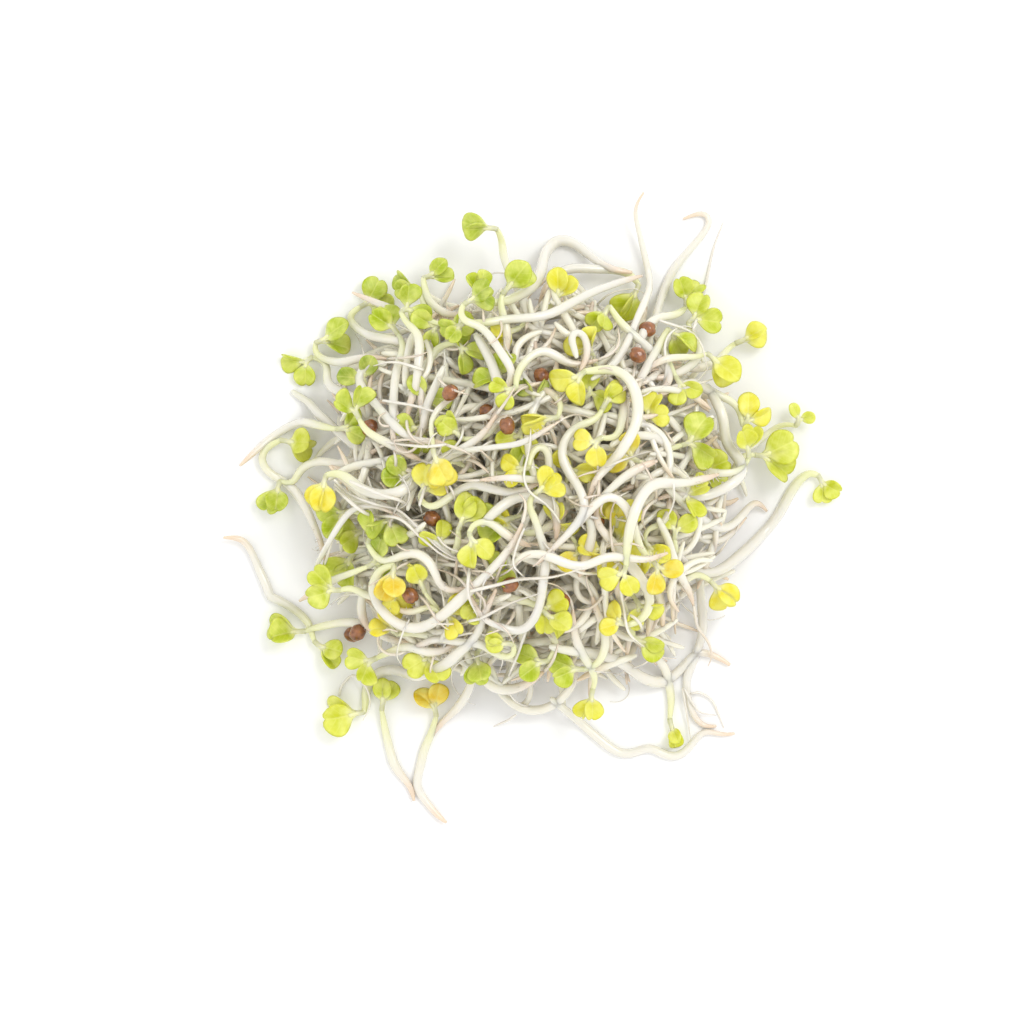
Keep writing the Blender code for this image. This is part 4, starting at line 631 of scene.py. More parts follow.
LEAF_CREASE = 0.05  # half width of that fold, for a length of 1
LEAF_CUP = (0.2, 0.9)  # least rise of a blade's edges, and what a draw may add to it
LEAF_ARCH = (-0.3, 0.5)  # fall of its tip
OVAL_SHARE = 0.4  # of the pairs whose leaves have no notch
STALK_END = 0.24  # how far into its blade a stalk runs, for a length of 1
STALK_RADII = (0.36, 0.3)
STALK_STEP = 0.25
GRID = 0.5  # of the map of the heap's height
MAP_HALF = 45  # half its side
MAP_REACH = 3  # cells around a point that its stem may cover
MAP_EDGE = 0.3  # how far past its radius a stem still counts
DRAPE = 3  # points to each side that a draped line clears as well
ROOM = 0.3  # kept between the outermost fine point and the solids' box

STEM_WHITE = (0.72, 0.705, 0.665)
STEM_SHADE = (0.76, 0.73, 0.64)
# Paler, warmer cream: small shares of it vary a stem's tone at random, and the deep stems' large share is
# painted light that lifts the shade inside the heap.
STEM_WARM_TONE_AND_LIFT = (0.97, 0.91, 0.76)
STEM_GREEN = (0.75, 0.77, 0.37)
STEM_TAN = (0.74, 0.52, 0.36)
LEAF_COLOURS = [(0.0, (0.22, 0.31, 0.01)), (0.35, (0.42, 0.52, 0.012)), (0.68, (0.64, 0.65, 0.025)),
                (0.9, (0.79, 0.69, 0.02)), (1.0, (0.8, 0.55, 0.012))]
LEAF_LIGHT = (0.88, 0.88, 0.3)
LEAF_STALK = (0.95, 0.95, 0.6)
LEAF_SPECK = (0.42, 0.22, 0.04)
VEIN_SPACING = 0.2  # of the side veins, for a leaf of length 1
SEED_DARK = (0.1, 0.028, 0.011)
SEED_LIGHT = (0.46, 0.17, 0.05)

# (x, y, hue): the leaves nearest to a spot take its hue, from 0 for dark green to 1 for orange
HUES = [
    (-20, 20, 0.22), (-8, 18, 0.3), (-24, 14, 0.3), (-31, -0.8, 0.3), (-25, -4.4, 0.3), (-28.8, 5.6, 0.62),
    (-22, 9, 0.34), (-19, -5.4, 0.4), (-20.4, -21.8, 0.42), (-27, -28, 0.6), (-12.7, -25.8, 0.85),
    (-25.6, -0.4, 0.88), (-17, -11.6, 0.95), (-9.2, 7, 0.38), (-10.6, 3.4, 0.85), (-7.3, -2.8, 0.55),
    (-6.4, -7, 0.86), (-2, 11, 0.45), (4.5, 13.5, 0.76), (1.8, 8.6, 0.76), (2.8, 0.6, 0.76), (9, 19, 0.5),
    (18, 19, 0.5), (24, 14, 0.84), (21, 4, 0.36), (28.2, 8.8, 0.76), (31, 4, 0.6), (36, 1, 0.5),
    (11.2, -3.5, 0.84), (24.2, -13.7, 0.94), (14.8, -19, 0.5), (0, -21.5, 0.45), (7.7, -27, 0.72),
    (10, -12, 0.9), (15, -11, 0.86), (-13, -13, 0.85), (-8, -16, 0.9), (2, -17, 0.7),
]


def unit(vector):
    """The vector at length 1."""
    return vector / np.linalg.norm(vector)


def seeded(kind, number):
    """The draws of one thing of a kind."""
    return np.random.default_rng([LOOK_SEED, kind, number])


def new_object(name, points, faces, finish, values):
    """A smooth mesh object from points in millimetres, with named numbers on its points."""
    mesh = bpy.data.meshes.new(name)
    mesh.from_pydata((np.asarray(points) * MM).tolist(), [], faces)
    mesh.materials.append(finish)
    for label, numbers in values:
        layer = mesh.attributes.new(label, "FLOAT", "POINT")
        layer.data.foreach_set("value", np.asarray(numbers, dtype=np.float32))
    mesh.shade_smooth()
    made = bpy.data.objects.new(name, mesh)
    bpy.context.scene.collection.objects.link(made)
    return made


class Growth:
    """Points, faces and point values gathered for one object."""

    def __init__(self, *labels):
        self.points, self.faces, self.count = [], [], 0
        self.values = {label: [] for label in labels}

    def add(self, points, faces, **values):
        self.points.append(points)
        self.faces += [[int(index) + self.count for index in face] for face in faces]
        self.count += len(points)
        for label, numbers in values.items():
            self.values[label].append(np.broadcast_to(numbers, len(points)))

    def finish(self, name, material, slot, *nodes):
        """Makes the object and lets it stand for the nodes."""
        values = [(label, np.concatenate(numbers)) for label, numbers in self.values.items()]
        piece = new_object(name, np.vstack(self.points), self.faces, material, values)
        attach(piece, "root")
        if nodes:
            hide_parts(*nodes)


STEM_VALUES = ("green", "tan", "tint", "along")
LEAF_VALUES = ("hue", "along", "across", "tint")


class Surface:
    """The height of the heap's top at any place in plan."""

    def __init__(self, heap):
        size = int(2 * MAP_HALF / GRID)
        self.height = np.zeros((size, size))
        spread = np.arange(-MAP_REACH, MAP_REACH + 1)
        for (x, y, z), radius in zip(heap.points[~heap.rigid], heap.radii[~heap.rigid]):
            column, row = int((x + MAP_HALF) / GRID), int((y + MAP_HALF) / GRID)
            for i in spread:
                for j in spread:
                    away = math.hypot(i, j) * GRID
                    if away < radius + MAP_EDGE:
                        rise = z + math.sqrt(max(radius**2 - away**2, 0))
                        cell = min(max(column + i, 0), size - 1), min(max(row + j, 0), size - 1)
                        self.height[cell] = max(self.height[cell], rise)

    def at(self, plan):
        cells = np.clip(((plan + MAP_HALF) / GRID).astype(int), 0, len(self.height) - 1)
        return self.height[cells[:, 0], cells[:, 1]]

    def draped(self, plan, radius, sunk=1.0):
        """The line of a root over what lies under it. sunk below 1 takes it into the heap."""
        top = self.at(plan)
        wide = np.array([top[max(n - DRAPE, 0):n + DRAPE + 1].max() for n in range(len(top))])
        for _ in range(6):
            wide[1:-1] = 0.25 * (wide[:-2] + wide[2:]) + 0.5 * wide[1:-1]
        return np.column_stack([plan, np.maximum(wide * sunk, 0) + radius + LIE_OVER * (wide > 0)])


def tube(line, radii, sides, flat=1.0, roll=0.0):
    """Points and faces of a round tube with closed ends. flat narrows it one way."""
    along = np.gradient(line, axis=0)
    along /= np.linalg.norm(along, axis=1)[:, None]
    side = unit(np.cross(along[0], [0.31, 0.17, 0.93]))
    rings = []
    angles = np.linspace(0, 2 * math.pi, sides, endpoint=False) + roll
    for middle, way, radius in zip(line, along, radii):
        side = unit(side - way * (side @ way))
        up = np.cross(way, side)
        ring = np.outer(np.cos(angles), side) + np.outer(np.sin(angles) * flat, up)
        rings.append(middle + radius * ring)
    start, end = line[0] - along[0] * radii[0] * 0.5, line[-1] + along[-1] * radii[-1] * 0.5
    points = np.vstack([*rings, start, end])
    faces = []
    for ring in range(len(line) - 1):
        for n in range(sides):
            m = (n + 1) % sides
            a, b = ring * sides, (ring + 1) * sides
            faces.append((a + n, a + m, b + m, b + n))
    first, last = len(line) * sides, (len(line) - 1) * sides
    for n in range(sides):
        m = (n + 1) % sides
        faces.append((first, m, n))
        faces.append((first + 1, last + n, last + m))
    return points, faces


def calmed(line, times):
    """The line with its kinks taken out."""
    line = line.copy()
    for _ in range(times):
        line[1:-1] = 0.5 * line[1:-1] + 0.25 * (line[:-2] + line[2:])
    return line


def grow_stem(growth, stem, radius, leafy, draw, sides=STEM_SIDES, tint=None):
    """One stem along its eased line, green where its leaves begin and tan at its root."""
    line = smooth_line(calmed(stem, 2), FINE_STEP)
    length = FINE_STEP * len(line)
    share = np.linspace(0, 1, len(line))
    width = np.interp(share, STEM_PLACES, STEM_WIDTHS)
    width *= np.interp(share * length, NECK_PLACES, NECK_WIDTHS if leafy else BLUNT_WIDTHS)
    wave = STEM_WAVE * np.sin(share * length * draw.uniform(0.5, 0.9) + draw.uniform(0, 6.3))
    radii = radius * SWELL * (width + wave * width)
    line[:, 2] = np.maximum(line[:, 2], radii * LYING)
    points, faces = tube(line, radii, sides, flat=draw.uniform(*STEM_FLATNESS), roll=draw.uniform(0, 1))
    points[:, 2] = np.maximum(points[:, 2], 0)
    measure = np.concatenate([np.repeat(share * length, sides), [0, length]])
    green = np.exp(-((measure / GREEN_LENGTH) ** 2)) * (1 if leafy else BARE_GREEN)
    tan = np.exp(-(((length - measure) / TAN_LENGTH) ** 2))
    # The share of pale warm cream: random for the drawn stems, and large on the deep stems as painted
    # light.
    tint = draw.uniform(*STEM_TINTS) if tint is None else tint
    growth.add(points, faces, green=green, tan=tan, tint=tint, along=measure)


HALF_EDGE = [(0.0, 0.0), (0.02, 0.08), (0.14, 0.13), (0.3, 0.33), (0.5, 0.47), (0.7, 0.51), (0.88, 0.42),
             (0.975, 0.24), (0.97, 0.1), (0.9, 0.0)]
OVAL_EDGE = [(0.0, 0.0), (0.02, 0.08), (0.14, 0.12), (0.3, 0.3), (0.5, 0.4), (0.7, 0.42), (0.87, 0.34),
             (0.96, 0.19), (0.99, 0.08), (1.0, 0.0)]
BLADE_RINGS = 7
BLADE_SPOKES = 30


def blade_edge(half):
    """Outline of a seed leaf of length 1 from one half of it, evenly spaced, starting at its foot."""
    whole = half + [(u, -v) for u, v in half[-2:0:-1]]
    loop = smooth_line([*whole, whole[0]], 0.01)[:-1]
    return loop[np.linspace(0, len(loop), BLADE_SPOKES, endpoint=False).astype(int)]


BLADE_EDGES = {"notched": blade_edge(HALF_EDGE), "oval": blade_edge(OVAL_EDGE)}


def blade(start, way, length, kind, draw):
    """Points and faces of one seed leaf, with how far each point lies along and across it."""
    across = unit(np.cross(way, [0, 0, 1.0]))
    up = np.cross(across, way)
    roll = draw.normal(0, LEAF_ROLL)
    c, s = math.cos(roll), math.sin(roll)
    across, up = across * c + up * s, up * c - across * s
    cup, arch = LEAF_CUP[0] + LEAF_CUP[1] * draw.uniform() ** 2, draw.uniform(*LEAF_ARCH)
    folded = draw.uniform(*LEAF_FOLD)
    edge, middle, count = BLADE_EDGES[kind], np.array([0.55, 0.0]), BLADE_SPOKES
    spots, sheet = [], []
    for side in (1, -1):
        for ring in range(1, BLADE_RINGS + (side > 0)):
            share = ring / BLADE_RINGS
            spots.append(middle * (1 - share) + edge * share)
            sheet += [side * math.sqrt(1 - share**2.6)] * count
        spots.append(middle[None])
        sheet.append(side)
    spots, sheet = np.vstack(spots), np.array(sheet)
    u, v = spots[:, 0], spots[:, 1]
    waves = draw.uniform(0.02, 0.07) * np.sin(7 * u + draw.uniform(0, 6)) * 2 * v
    fold = 0.06 * np.exp(-((v / 0.06) ** 2)) * np.clip(1.1 - u, 0, 1) * (sheet > 0)
    crease = np.sqrt(v * v + LEAF_CREASE**2) - LEAF_CREASE
    rise = crease * math.sin(folded) + cup * v * v - arch * u * u + waves - fold
    lift = sheet * LEAF_THICKNESS / 2 * np.interp(u, [0, 0.2, 0.5, 1], [0.75, 0.8, 1, 0.9])
    form = np.outer(u, way) + np.outer(v * math.cos(folded), across) + np.outer(rise, up)
    points = start + length * form + np.outer(lift, up)
    top_middle = BLADE_RINGS * count
    under = top_middle + 1
    rim = (BLADE_RINGS - 1) * count
    starts = {1: [ring * count for ring in range(BLADE_RINGS)],
              -1: [under + ring * count for ring in range(BLADE_RINGS - 1)] + [rim]}
    faces = []
    for side, centre in ((1, top_middle), (-1, under + rim)):
        for n in range(count):
            m = (n + 1) % count
            first = starts[side][0]
            strip = [(centre, first + m, first + n)]
            for a, b in zip(starts[side], starts[side][1:]):
                strip.append((a + n, a + m, b + m, b + n))
            faces += strip if side > 0 else [face[::-1] for face in strip]
    return points, faces, u, v


def settled(points, along):
    """A blade tipped about its foot, so that it stays over the table and under the top of the heap."""
    points = points.copy()
    top = cad_box[1][2] / MM + LEAF_ROOM
    reach = np.maximum(along, 0.3)
    points[:, 2] += max(((LEAF_REST - points[:, 2]) / reach).max(), 0) * np.maximum(along, 0)
    points[:, 2] -= max(((points[:, 2] - top) / reach).max(), 0) * np.maximum(along, 0)
    return points


def grow_leaves(growth, end, heading, lobes, length, out, hue, draw):
    """The pair of seed leaves at a stem's end, with their short stalks."""
    start = end + heading * LEAF_START
    kind = "oval" if draw.uniform() < OVAL_SHARE else "notched"
    for way in lobes:
        size = length * draw.uniform(*LEAF_SIZES)
        foot = end - out * 0.15
        bend = 0.6 * foot + 0.4 * start + out * 0.1
        join = start + way * size * STALK_END
        line = smooth_line([foot, bend, start + way * size * STALK_END / 4, join], STALK_STEP)
        points, faces = tube(line, np.linspace(*STALK_RADII, len(line)), FINE_SIDES, flat=0.9)
        growth.add(points, faces, hue=hue, along=0.0, across=0.0, tint=draw.uniform(0, 1))
        points, faces, u, v = blade(start, way, size, kind, draw)
        growth.add(settled(points, u), faces, hue=hue, along=u, across=v, tint=draw.uniform(0, 1))


def hue_at(x, y, draw):
    """The hue of the nearest spot of HUES, a little changed."""
    nearest = min(HUES, key=lambda spot: math.hypot(spot[0] - x, spot[1] - y))
    return float(np.clip(nearest[2] + draw.normal(0, 0.07), 0, 1))


ROOTS = [  # plan routes of single thin roots and hairs that lie over the heap
    [(20.5, 19.5), (21.6, 23), (22.4, 26.5), (23.2, 30), (24.4, 33.2)],
    [(-23.6, -26), (-23.2, -24.6), (-21.8, -23.4), (-20.5, -24.5), (-19.8, -26), (-19.8, -27.5),
     (-20.6, -29)],
    [(20.3, -25.7), (21.5, -25.6), (23, -26.6), (23.8, -28.3), (24.5, -30)],
    [(19.5, -25), (20.5, -26.8), (21.5, -28), (23.5, -28.4)],
    [(19.3, -25), (19.8, -28), (20.3, -31.3)],
    [(9.5, 2.5), (12.5, 3.7), (15.5, 4.5), (17.5, 3.4), (20.2, 1)],
    [(11.4, -12.5), (11.8, -15), (12.4, -17.8), (14, -19.4), (16.5, -21), (18.5, -21.3)],
    [(-6, -16.2), (-2, -14.2), (1.5, -13)],
    [(-6, -16.2), (-9, -16.8), (-12, -16.8)],
    [(-7.2, -9.5), (-7.4, -13), (-6.2, -16)],
    [(-7.3, -12.8), (-4, -12), (-1, -11.3), (3, -11), (6.5, -10)],
    [(-0.5, -5), (-1.5, -7.5), (-1.8, -9.5), (-0.5, -11), (0.8, -12.3)],
    [(-18, 10.8), (-14, 10.1), (-10.5, 9.2), (-7, 9.5), (-5, 10.3)],
    [(-10, 8.8), (-10.2, 7.5), (-11.8, 6.3), (-12.4, 4.8)],
    [(-24, 1), (-22, -0.8), (-19, -2), (-16, -2.8), (-13.5, -5), (-11, -7.5), (-8.5, -8.8), (-5.5, -9)],
    [(-24, 0), (-20, -3.2), (-16, -3.8), (-13, -6.4), (-10, -8.6), (-5.5, -9.6)],
    [(-22, 0.8), (-18, -0.9), (-15, -2), (-12, -5), (-9.5, -7.6), (-4.5, -8.4)],
    [(-13.4, -2.2), (-12.9, -0.5), (-12.2, 1), (-11, 1.6), (-9.6, 0), (-9, -1.5), (-8.8, -3.5)],
    [(16.3, 20.8), (20, 19.5), (21.5, 17.8), (22.3, 14.5)],
    [(18.5, 12), (22.9, 13.5)],
    [(21.5, -9.8), (23.8, -8), (25.2, -6)],
    [(17.9, 0.5), (18, -1.5), (17.5, -3), (16.6, -4.3)],
    [(-1.5, -28.3), (-2.5, -29), (-4.3, -29.8)],
]
ROOT_RADIUS = 0.2

DEEP_LEAVES = [  # (x, y, heading in degrees, length, hue) of small pairs seen between the stems
    (-12, 19.8, 200, 3.4, 0.35), (-9.5, 19.8, -20, 3.2, 0.35), (-20.8, 14, 120, 3.2, 0.05),
    (4, 24.2, 60, 3.4, 0.8), (-2.3, 19.3, 200, 3, 0.85), (-18.5, -9, 30, 3.6, 0.15),
    (-12.5, -21.5, 250, 3.4, 0.6), (11.5, -6.5, 10, 3.4, 0.8), (6.3, -8.3, 280, 3, 0.95),
    (8.8, -8, 220, 3.2, 0.9), (12.3, 4, 150, 3.4, 0.95), (5.5, 2.5, 60, 3, 0.8), (18.3, -5, 80, 3, 0.55),
    (-15.5, 1.5, 160, 3.4, 0.2), (0.8, 11.5, 90, 2.6, 0.02), (-1.5, 2.3, 20, 3.6, 0.3),
    (-3.3, -4.2, 200, 3.6, 0.3), (-17.5, -4.5, 240, 3.4, 0.25), (8, 12, 40, 3.2, 0.5),
    (-4, 14, 130, 3.2, 0.3), (14, -15, 300, 3.2, 0.7), (-14, 7, 220, 3.2, 0.35), (20, -1, 330, 3.2, 0.6),
    (11.2, -3.4, 80, 3.4, 0.8), (-1.2, 6, 250, 3.2, 0.6), (3.6, -4.4, 30, 3.2, 0.75),
    (14.8, -8.4, 300, 3.2, 0.85), (19, 12.6, 300, 3, 0.55), (-4, -10.6, 20, 2.8, 0.35),
    (-6.4, -14.2, 200, 3, 0.55), (-9.6, 3.4, 160, 3, 0.5), (2.4, -15.2, 330, 3.2, 0.7),
    (-12.5, 11.5, 60, 3.2, 0.3), (15, 9, 40, 3, 0.75), (7.4, 17.4, 120, 3.2, 0.8),
    (-16.8, -13.5, 300, 3.2, 0.85), (-11, -6.5, 120, 3, 0.6),
]
DEEP_SEEDS = [(1.7, 13.8), (14.8, 19.7), (-21.2, -18), (-5.3, -8), (-11.9, -3.8), (-19.7, 7.5), (8.5, -4),
              (-5, 9.3), (-4.5, 12.8)]
DEEP_STEMS = 300
DEEP_LEVELS = (0.4, 0.93)  # share of the dome's height that they lie at
DEEP_EDGE = 9.5  # height of the dome where they end
LOW_STEMS = 110  # more of them, near the table
LOW_LEVELS = (0.03, 0.45)
LOW_EDGE = 5.5
DEEP_REACH = 25  # in plan, from the middle to where the furthest is placed
DEEP_LENGTHS = (14, 26)
DEEP_BEND = 0.035  # spread of how much a route's turning changes with each step, in radians
DEEP_HEADING_SPREAD = 0.9  # about the way round the heap, in radians
DEEP_RADII = (0.36, 0.6)
# Painted light: the deep stems take a large share of the pale warm cream, so the heap's inside looks lit
# through.
DEEP_PAINTED_LIFT = (1.1, 1.6)
DEEP_LEAST = 12  # points, below which a stretch is left out
DEEP_LEAF_RISE = 0.84  # share of the dome's height
DEEP_LEAF_STEM = 0.55  # radius of the stem of a deep leaf
DEEP_LEAF_SPREAD = (25, 65)  # degrees from the pair's middle to each leaf
DEEP_SEED_RISE = 0.8
LIE_OVER = 0.12  # how far a thin root lies clear of the map of the heap's top
LEAF_AROUND = 2.4  # in plan from a leaf's middle, where a deep stem passes below it
LEAF_BELOW = 1.3  # how far below
WANDER_ON = 0.93  # share of a route's turning that goes on at its next step
DRAPED_RADIUS = 0.1  # of tails and tangled roots, where they are laid over the stems
ROOT_SIDES = 5
ROOT_PLACES = (0, 0.1, 0.6, 1)  # shares of a thin root's length
ROOT_WIDTHS = (0.8, 1, 0.8, 0.3)  # its width there
TANGLED_ROOTS = 90
TANGLE_REACH = 24
TANGLE_LENGTHS = (6, 17)
TANGLE_EDGE = 2.5  # height of the dome where they end
TANGLE_RADII = (0.1, 0.24)
TANGLE_BEND = 0.045
TANGLE_SUNK = (0.6, 1.0)  # share of the heap's height that they lie at
TANGLE_LEAST = 8  # points, up to which a root is left out
TAILS = 0.6  # share of the sprouts whose root goes on as a thin tail
TAIL_LENGTHS = (3, 9)
TAIL_RADIUS = 0.36  # for a sprout's radius of 1
TAIL_BEND = 0.06
TAIL_LEAST = 5  # points, up to which a tail is left out
ROOTED = 27  # from the middle in plan, past which a root ends without a tail or hairs
HAIRS = 26  # on each root's tip
HAIR_ZONE = 4.5  # of a root's tip that they grow on
HAIR_LENGTHS = (0.5, 1.3)
HAIR_RADII = (0.05, 0.04, 0.02)  # at its root, bend and tip
HAIR_SIDES = 3


def kept_inside(line, margin):
    """The line up to where it leaves the solids' box."""
    low, high = (np.array(corner) / MM for corner in cad_box)
    line = line.copy()
    line[:, 2] = np.clip(line[:, 2], 0, high[2] - margin)
    out = ((line[:, :2] < low[:2] + margin) | (line[:, :2] > high[:2] - margin)).any(axis=1)
    return line[:int(np.argmax(out))] if out.any() else line


def wander(start, heading, length, bend, draw):
    """A wandering plan route of the given length."""
    turn, plan = 0.0, [np.array(start)]
    for _ in range(max(int(length / FINE_STEP), 3)):
        turn = WANDER_ON * turn + draw.normal(0, bend)
        heading += turn
        plan.append(plan[-1] + FINE_STEP * np.array([math.cos(heading), math.sin(heading)]))
    return np.array(plan)


def scattered(reach, draw):
    """A place in the heap within the reach of its middle, and the way that it lies from there."""
    away, turn = reach * math.sqrt(draw.uniform()), draw.uniform(0, 2 * math.pi)
    return away * np.array([math.cos(turn), math.sin(turn)]) - PLAN_CENTRE, turn


def under_leaves(line, leaves):
    """The line pressed down where it would come up through a leaf."""
    away = np.linalg.norm(line[:, None, :2] - leaves[None, :, :2], axis=2)
    ceiling = np.where(away < LEAF_AROUND, leaves[None, :, 2] - LEAF_BELOW, np.inf).min(axis=1)
    line = line.copy()
    line[:, 2] = np.clip(line[:, 2], 0.4, np.maximum(ceiling, 0.4))
    return line


def grow_deep_stems(growth, leaves):
    """Stems inside the heap, which close the view down to the table. Their pale warm colour is painted
    light that lifts the shade in there.
    """
    for number in range(DEEP_STEMS + LOW_STEMS):
        draw = seeded(DEEP_STEM_DRAWS, number)
        levels, edge = (DEEP_LEVELS, DEEP_EDGE) if number < DEEP_STEMS else (LOW_LEVELS, LOW_EDGE)
        start, turn = scattered(DEEP_REACH, draw)
        heading = turn + math.pi / 2 + draw.normal(0, DEEP_HEADING_SPREAD)
        length = draw.uniform(*DEEP_LENGTHS)
        plan = wander(start, heading, length / 2, DEEP_BEND, draw)[::-1]
        plan = np.vstack([plan, wander(start, heading + math.pi, length / 2, DEEP_BEND, draw)[1:]])
        rise = np.maximum(dome(plan + PLAN_CENTRE), 0.5)
        low, high = draw.uniform(*levels, 2)
        height = rise * np.linspace(low, high, len(plan))
        keep = dome(plan + PLAN_CENTRE) > edge
        if keep.sum() < DEEP_LEAST:
            continue
        line = calmed(under_leaves(np.column_stack([plan, height])[keep], leaves)[::2], 6)
        radius, tint = draw.uniform(*DEEP_RADII), draw.uniform(*DEEP_PAINTED_LIFT)
        grow_stem(growth, line, radius, False, draw, FINE_SIDES, tint)


def grow_root(growth, line, radius, draw, tan=0.45):
    """A thin root that thins out to its tip."""
    share = np.linspace(0, 1, len(line))
    points, faces = tube(line, radius * np.interp(share, ROOT_PLACES, ROOT_WIDTHS), ROOT_SIDES)
    points[:, 2] = np.maximum(points[:, 2], 0)
    along = np.concatenate([np.repeat(share, ROOT_SIDES), [0, 1]])
    growth.add(points, faces, green=0.0, tan=tan * (0.5 + along), tint=draw.uniform(0.3, 1), along=along)


def grow_roots(growth, heap, surface):
    """The thin roots: those drawn, the roots' own tails, and a seeded tangle."""
    for number, route in enumerate(ROOTS):
        draw = seeded(ROOT_DRAWS, number)
        plan = smooth_line(np.array(route, dtype=float) - PLAN_CENTRE, FINE_STEP)
        line = kept_inside(surface.draped(plan, ROOT_RADIUS), ROOM)
        grow_root(growth, line, ROOT_RADIUS * draw.uniform(0.8, 1.3), draw, 0.2)
    for number, strand in enumerate(heap.strands):
        draw = seeded(TAIL_DRAWS, number)
        if not strand.spec or draw.uniform() > TAILS or number < len(BED):
            continue
        stem = heap.points[heap.stem_slice(number)]
        if np.hypot(*stem[-1][:2]) > ROOTED:
            continue
        way = stem[-1] - stem[-3]
        heading = math.atan2(way[1], way[0])
        plan = wander(stem[-1][:2], heading, draw.uniform(*TAIL_LENGTHS), TAIL_BEND, draw)
        draped = surface.draped(plan, DRAPED_RADIUS)
        fade = np.exp(-np.linspace(0, 4, len(plan)))
        line = draped.copy()
        line[:, 2] = draped[:, 2] * (1 - fade) + stem[-1][2] * fade
        line = kept_inside(line, ROOM)
        if len(line) > TAIL_LEAST:
            grow_root(growth, calmed(line, 3), strand.spec.radius * TAIL_RADIUS, draw, 0.6)
    for number in range(TANGLED_ROOTS):
        draw = seeded(TANGLE_DRAWS, number)
        start, _ = scattered(TANGLE_REACH, draw)
        plan = wander(start, draw.uniform(0, 6.3), draw.uniform(*TANGLE_LENGTHS), TANGLE_BEND, draw)
        keep = dome(plan + PLAN_CENTRE) > TANGLE_EDGE
        plan = plan[keep] if keep.all() else plan[:int(np.argmin(keep))]
        if len(plan) < TANGLE_LEAST:
            continue
        line = kept_inside(surface.draped(plan, DRAPED_RADIUS, draw.uniform(*TANGLE_SUNK)), ROOM)
        if len(line) > TANGLE_LEAST:
            grow_root(growth, line, draw.uniform(*TANGLE_RADII), draw, 0.12)


def grow_hairs(growth, stem, radius, draw):
    """Fine root hairs round the tip of a root."""
    line = smooth_line(calmed(stem, 2), FINE_STEP)
    zone = line[-int(HAIR_ZONE / FINE_STEP):]
    for _ in range(HAIRS):
        place = int(draw.integers(0, len(zone) - 1))
        way = unit(zone[place + 1] - zone[place])
        side = unit(np.cross(way, draw.normal(0, 1, 3)))
        reach = draw.uniform(*HAIR_LENGTHS)
        root = zone[place] + side * radius * 0.2
        bend = root + (side + way * draw.uniform(-0.3, 0.5)) * reach * 0.6
        tip = bend + (side * 0.4 + draw.normal(0, 0.4, 3)) * reach * 0.5
        hair = np.array([root, bend, tip])
        hair[:, 2] = np.maximum(hair[:, 2], 0.05)
        hair = kept_inside(hair, 0.1)
        if len(hair) == 3:
            points, faces = tube(hair, HAIR_RADII, HAIR_SIDES)
            points[:, 2] = np.maximum(points[:, 2], 0)
            growth.add(points, faces, green=0.0, tan=0.25, tint=0.3, along=0.0)


def grow_deep_leaves(growth, stems):
    """Small leaf pairs between the stems, each on a stem that goes down into the heap."""
    for number, (x, y, degrees, length, hue) in enumerate(DEEP_LEAVES):
        draw = seeded(DEEP_LEAF_DRAWS, number)
        middle = np.array([x, y]) - PLAN_CENTRE
        heading = np.array([math.cos(math.radians(degrees)), math.sin(math.radians(degrees)), 0.15])
        rise = max(float(dome(middle[None] + PLAN_CENTRE)[0]), 3) * DEEP_LEAF_RISE
        end = np.array([*(middle - heading[:2] * length * 0.4), rise])
        back = end - heading * 5 + [*draw.normal(0, 1.2, 2), -rise * 0.35]
        far = back - heading * 5 + [*draw.normal(0, 3, 2), -rise * 0.25]
        line = smooth_line(np.array([end, 0.5 * (end + back) + [0, 0, 1], back, far]), STEP)
        grow_stem(stems, line, DEEP_LEAF_STEM, True, draw, FINE_SIDES)
        spread = math.radians(draw.uniform(*DEEP_LEAF_SPREAD))
        lobes = [turned_way(heading, spread), turned_way(heading, -spread)]
        grow_leaves(growth, line[0], unit(heading), lobes, length, unit(line[0] - line[1]), hue, draw)


def turned_way(way, angle):
    """A direction turned in plan."""
    c, s = math.cos(angle), math.sin(angle)
    return unit(np.array([way[0] * c - way[1] * s, way[0] * s + way[1] * c, way[2]]))


def seed_shape(middle, number):
    """Points and faces of a seed coat: a dimpled egg with a scar at one end."""
    rows, columns = 18, 26
    points = []
    for row in range(1, rows):
        polar = math.pi * row / rows
        wide, rise = math.sin(polar), math.cos(polar)
        for column in range(columns):
            turn = 2 * math.pi * column / columns
            points.append((wide * math.cos(turn), wide * math.sin(turn), rise))
    points = np.array(points + [(0, 0, 1.0), (0, 0, -1.0)])
    bumps = 0.03 * np.sin(7 * points[:, 0] + number) * np.sin(6 * points[:, 1] + 2 * number)
    scar = 0.14 * np.exp(-((points[:, 0] - 1) ** 2 + points[:, 1] ** 2) / 0.06)
    points = points * (1 + bumps - scar)[:, None] * np.array(SEED_FORM) * SEED_RADIUS
    a, b = number * 0.9, 0.4 * math.sin(number * 2.1)
    about_x = np.array([[1, 0, 0], [0, math.cos(b), -math.sin(b)], [0, math.sin(b), math.cos(b)]])
    about_z = np.array([[math.cos(a), -math.sin(a), 0], [math.sin(a), math.cos(a), 0], [0, 0, 1]])
    points = points @ (about_z @ about_x).T + middle
    faces = []
    top, bottom = (rows - 1) * columns, (rows - 1) * columns + 1
    for column in range(columns):
        beside = (column + 1) % columns
        faces.append((top, column, beside))
        last = (rows - 2) * columns
        faces.append((bottom, last + beside, last + column))
        for row in range(rows - 2):
            a, b = row * columns, (row + 1) * columns
            faces.append((a + column, b + column, b + beside, a + beside))
    return points, faces


def node_material(name, roughness):
    """A new material with its nodes, and its shader."""
    made = bpy.data.materials.new(name)
    made.use_nodes = True
    shader = made.node_tree.nodes["Principled BSDF"]
    shader.inputs["Roughness"].default_value = roughness
    return made, made.node_tree, shader


def attribute(tree, name):
    """The number of that name on the points of the mesh."""
    node = tree.nodes.new("ShaderNodeAttribute")
    node.attribute_name = name
    return node.outputs["Fac"]


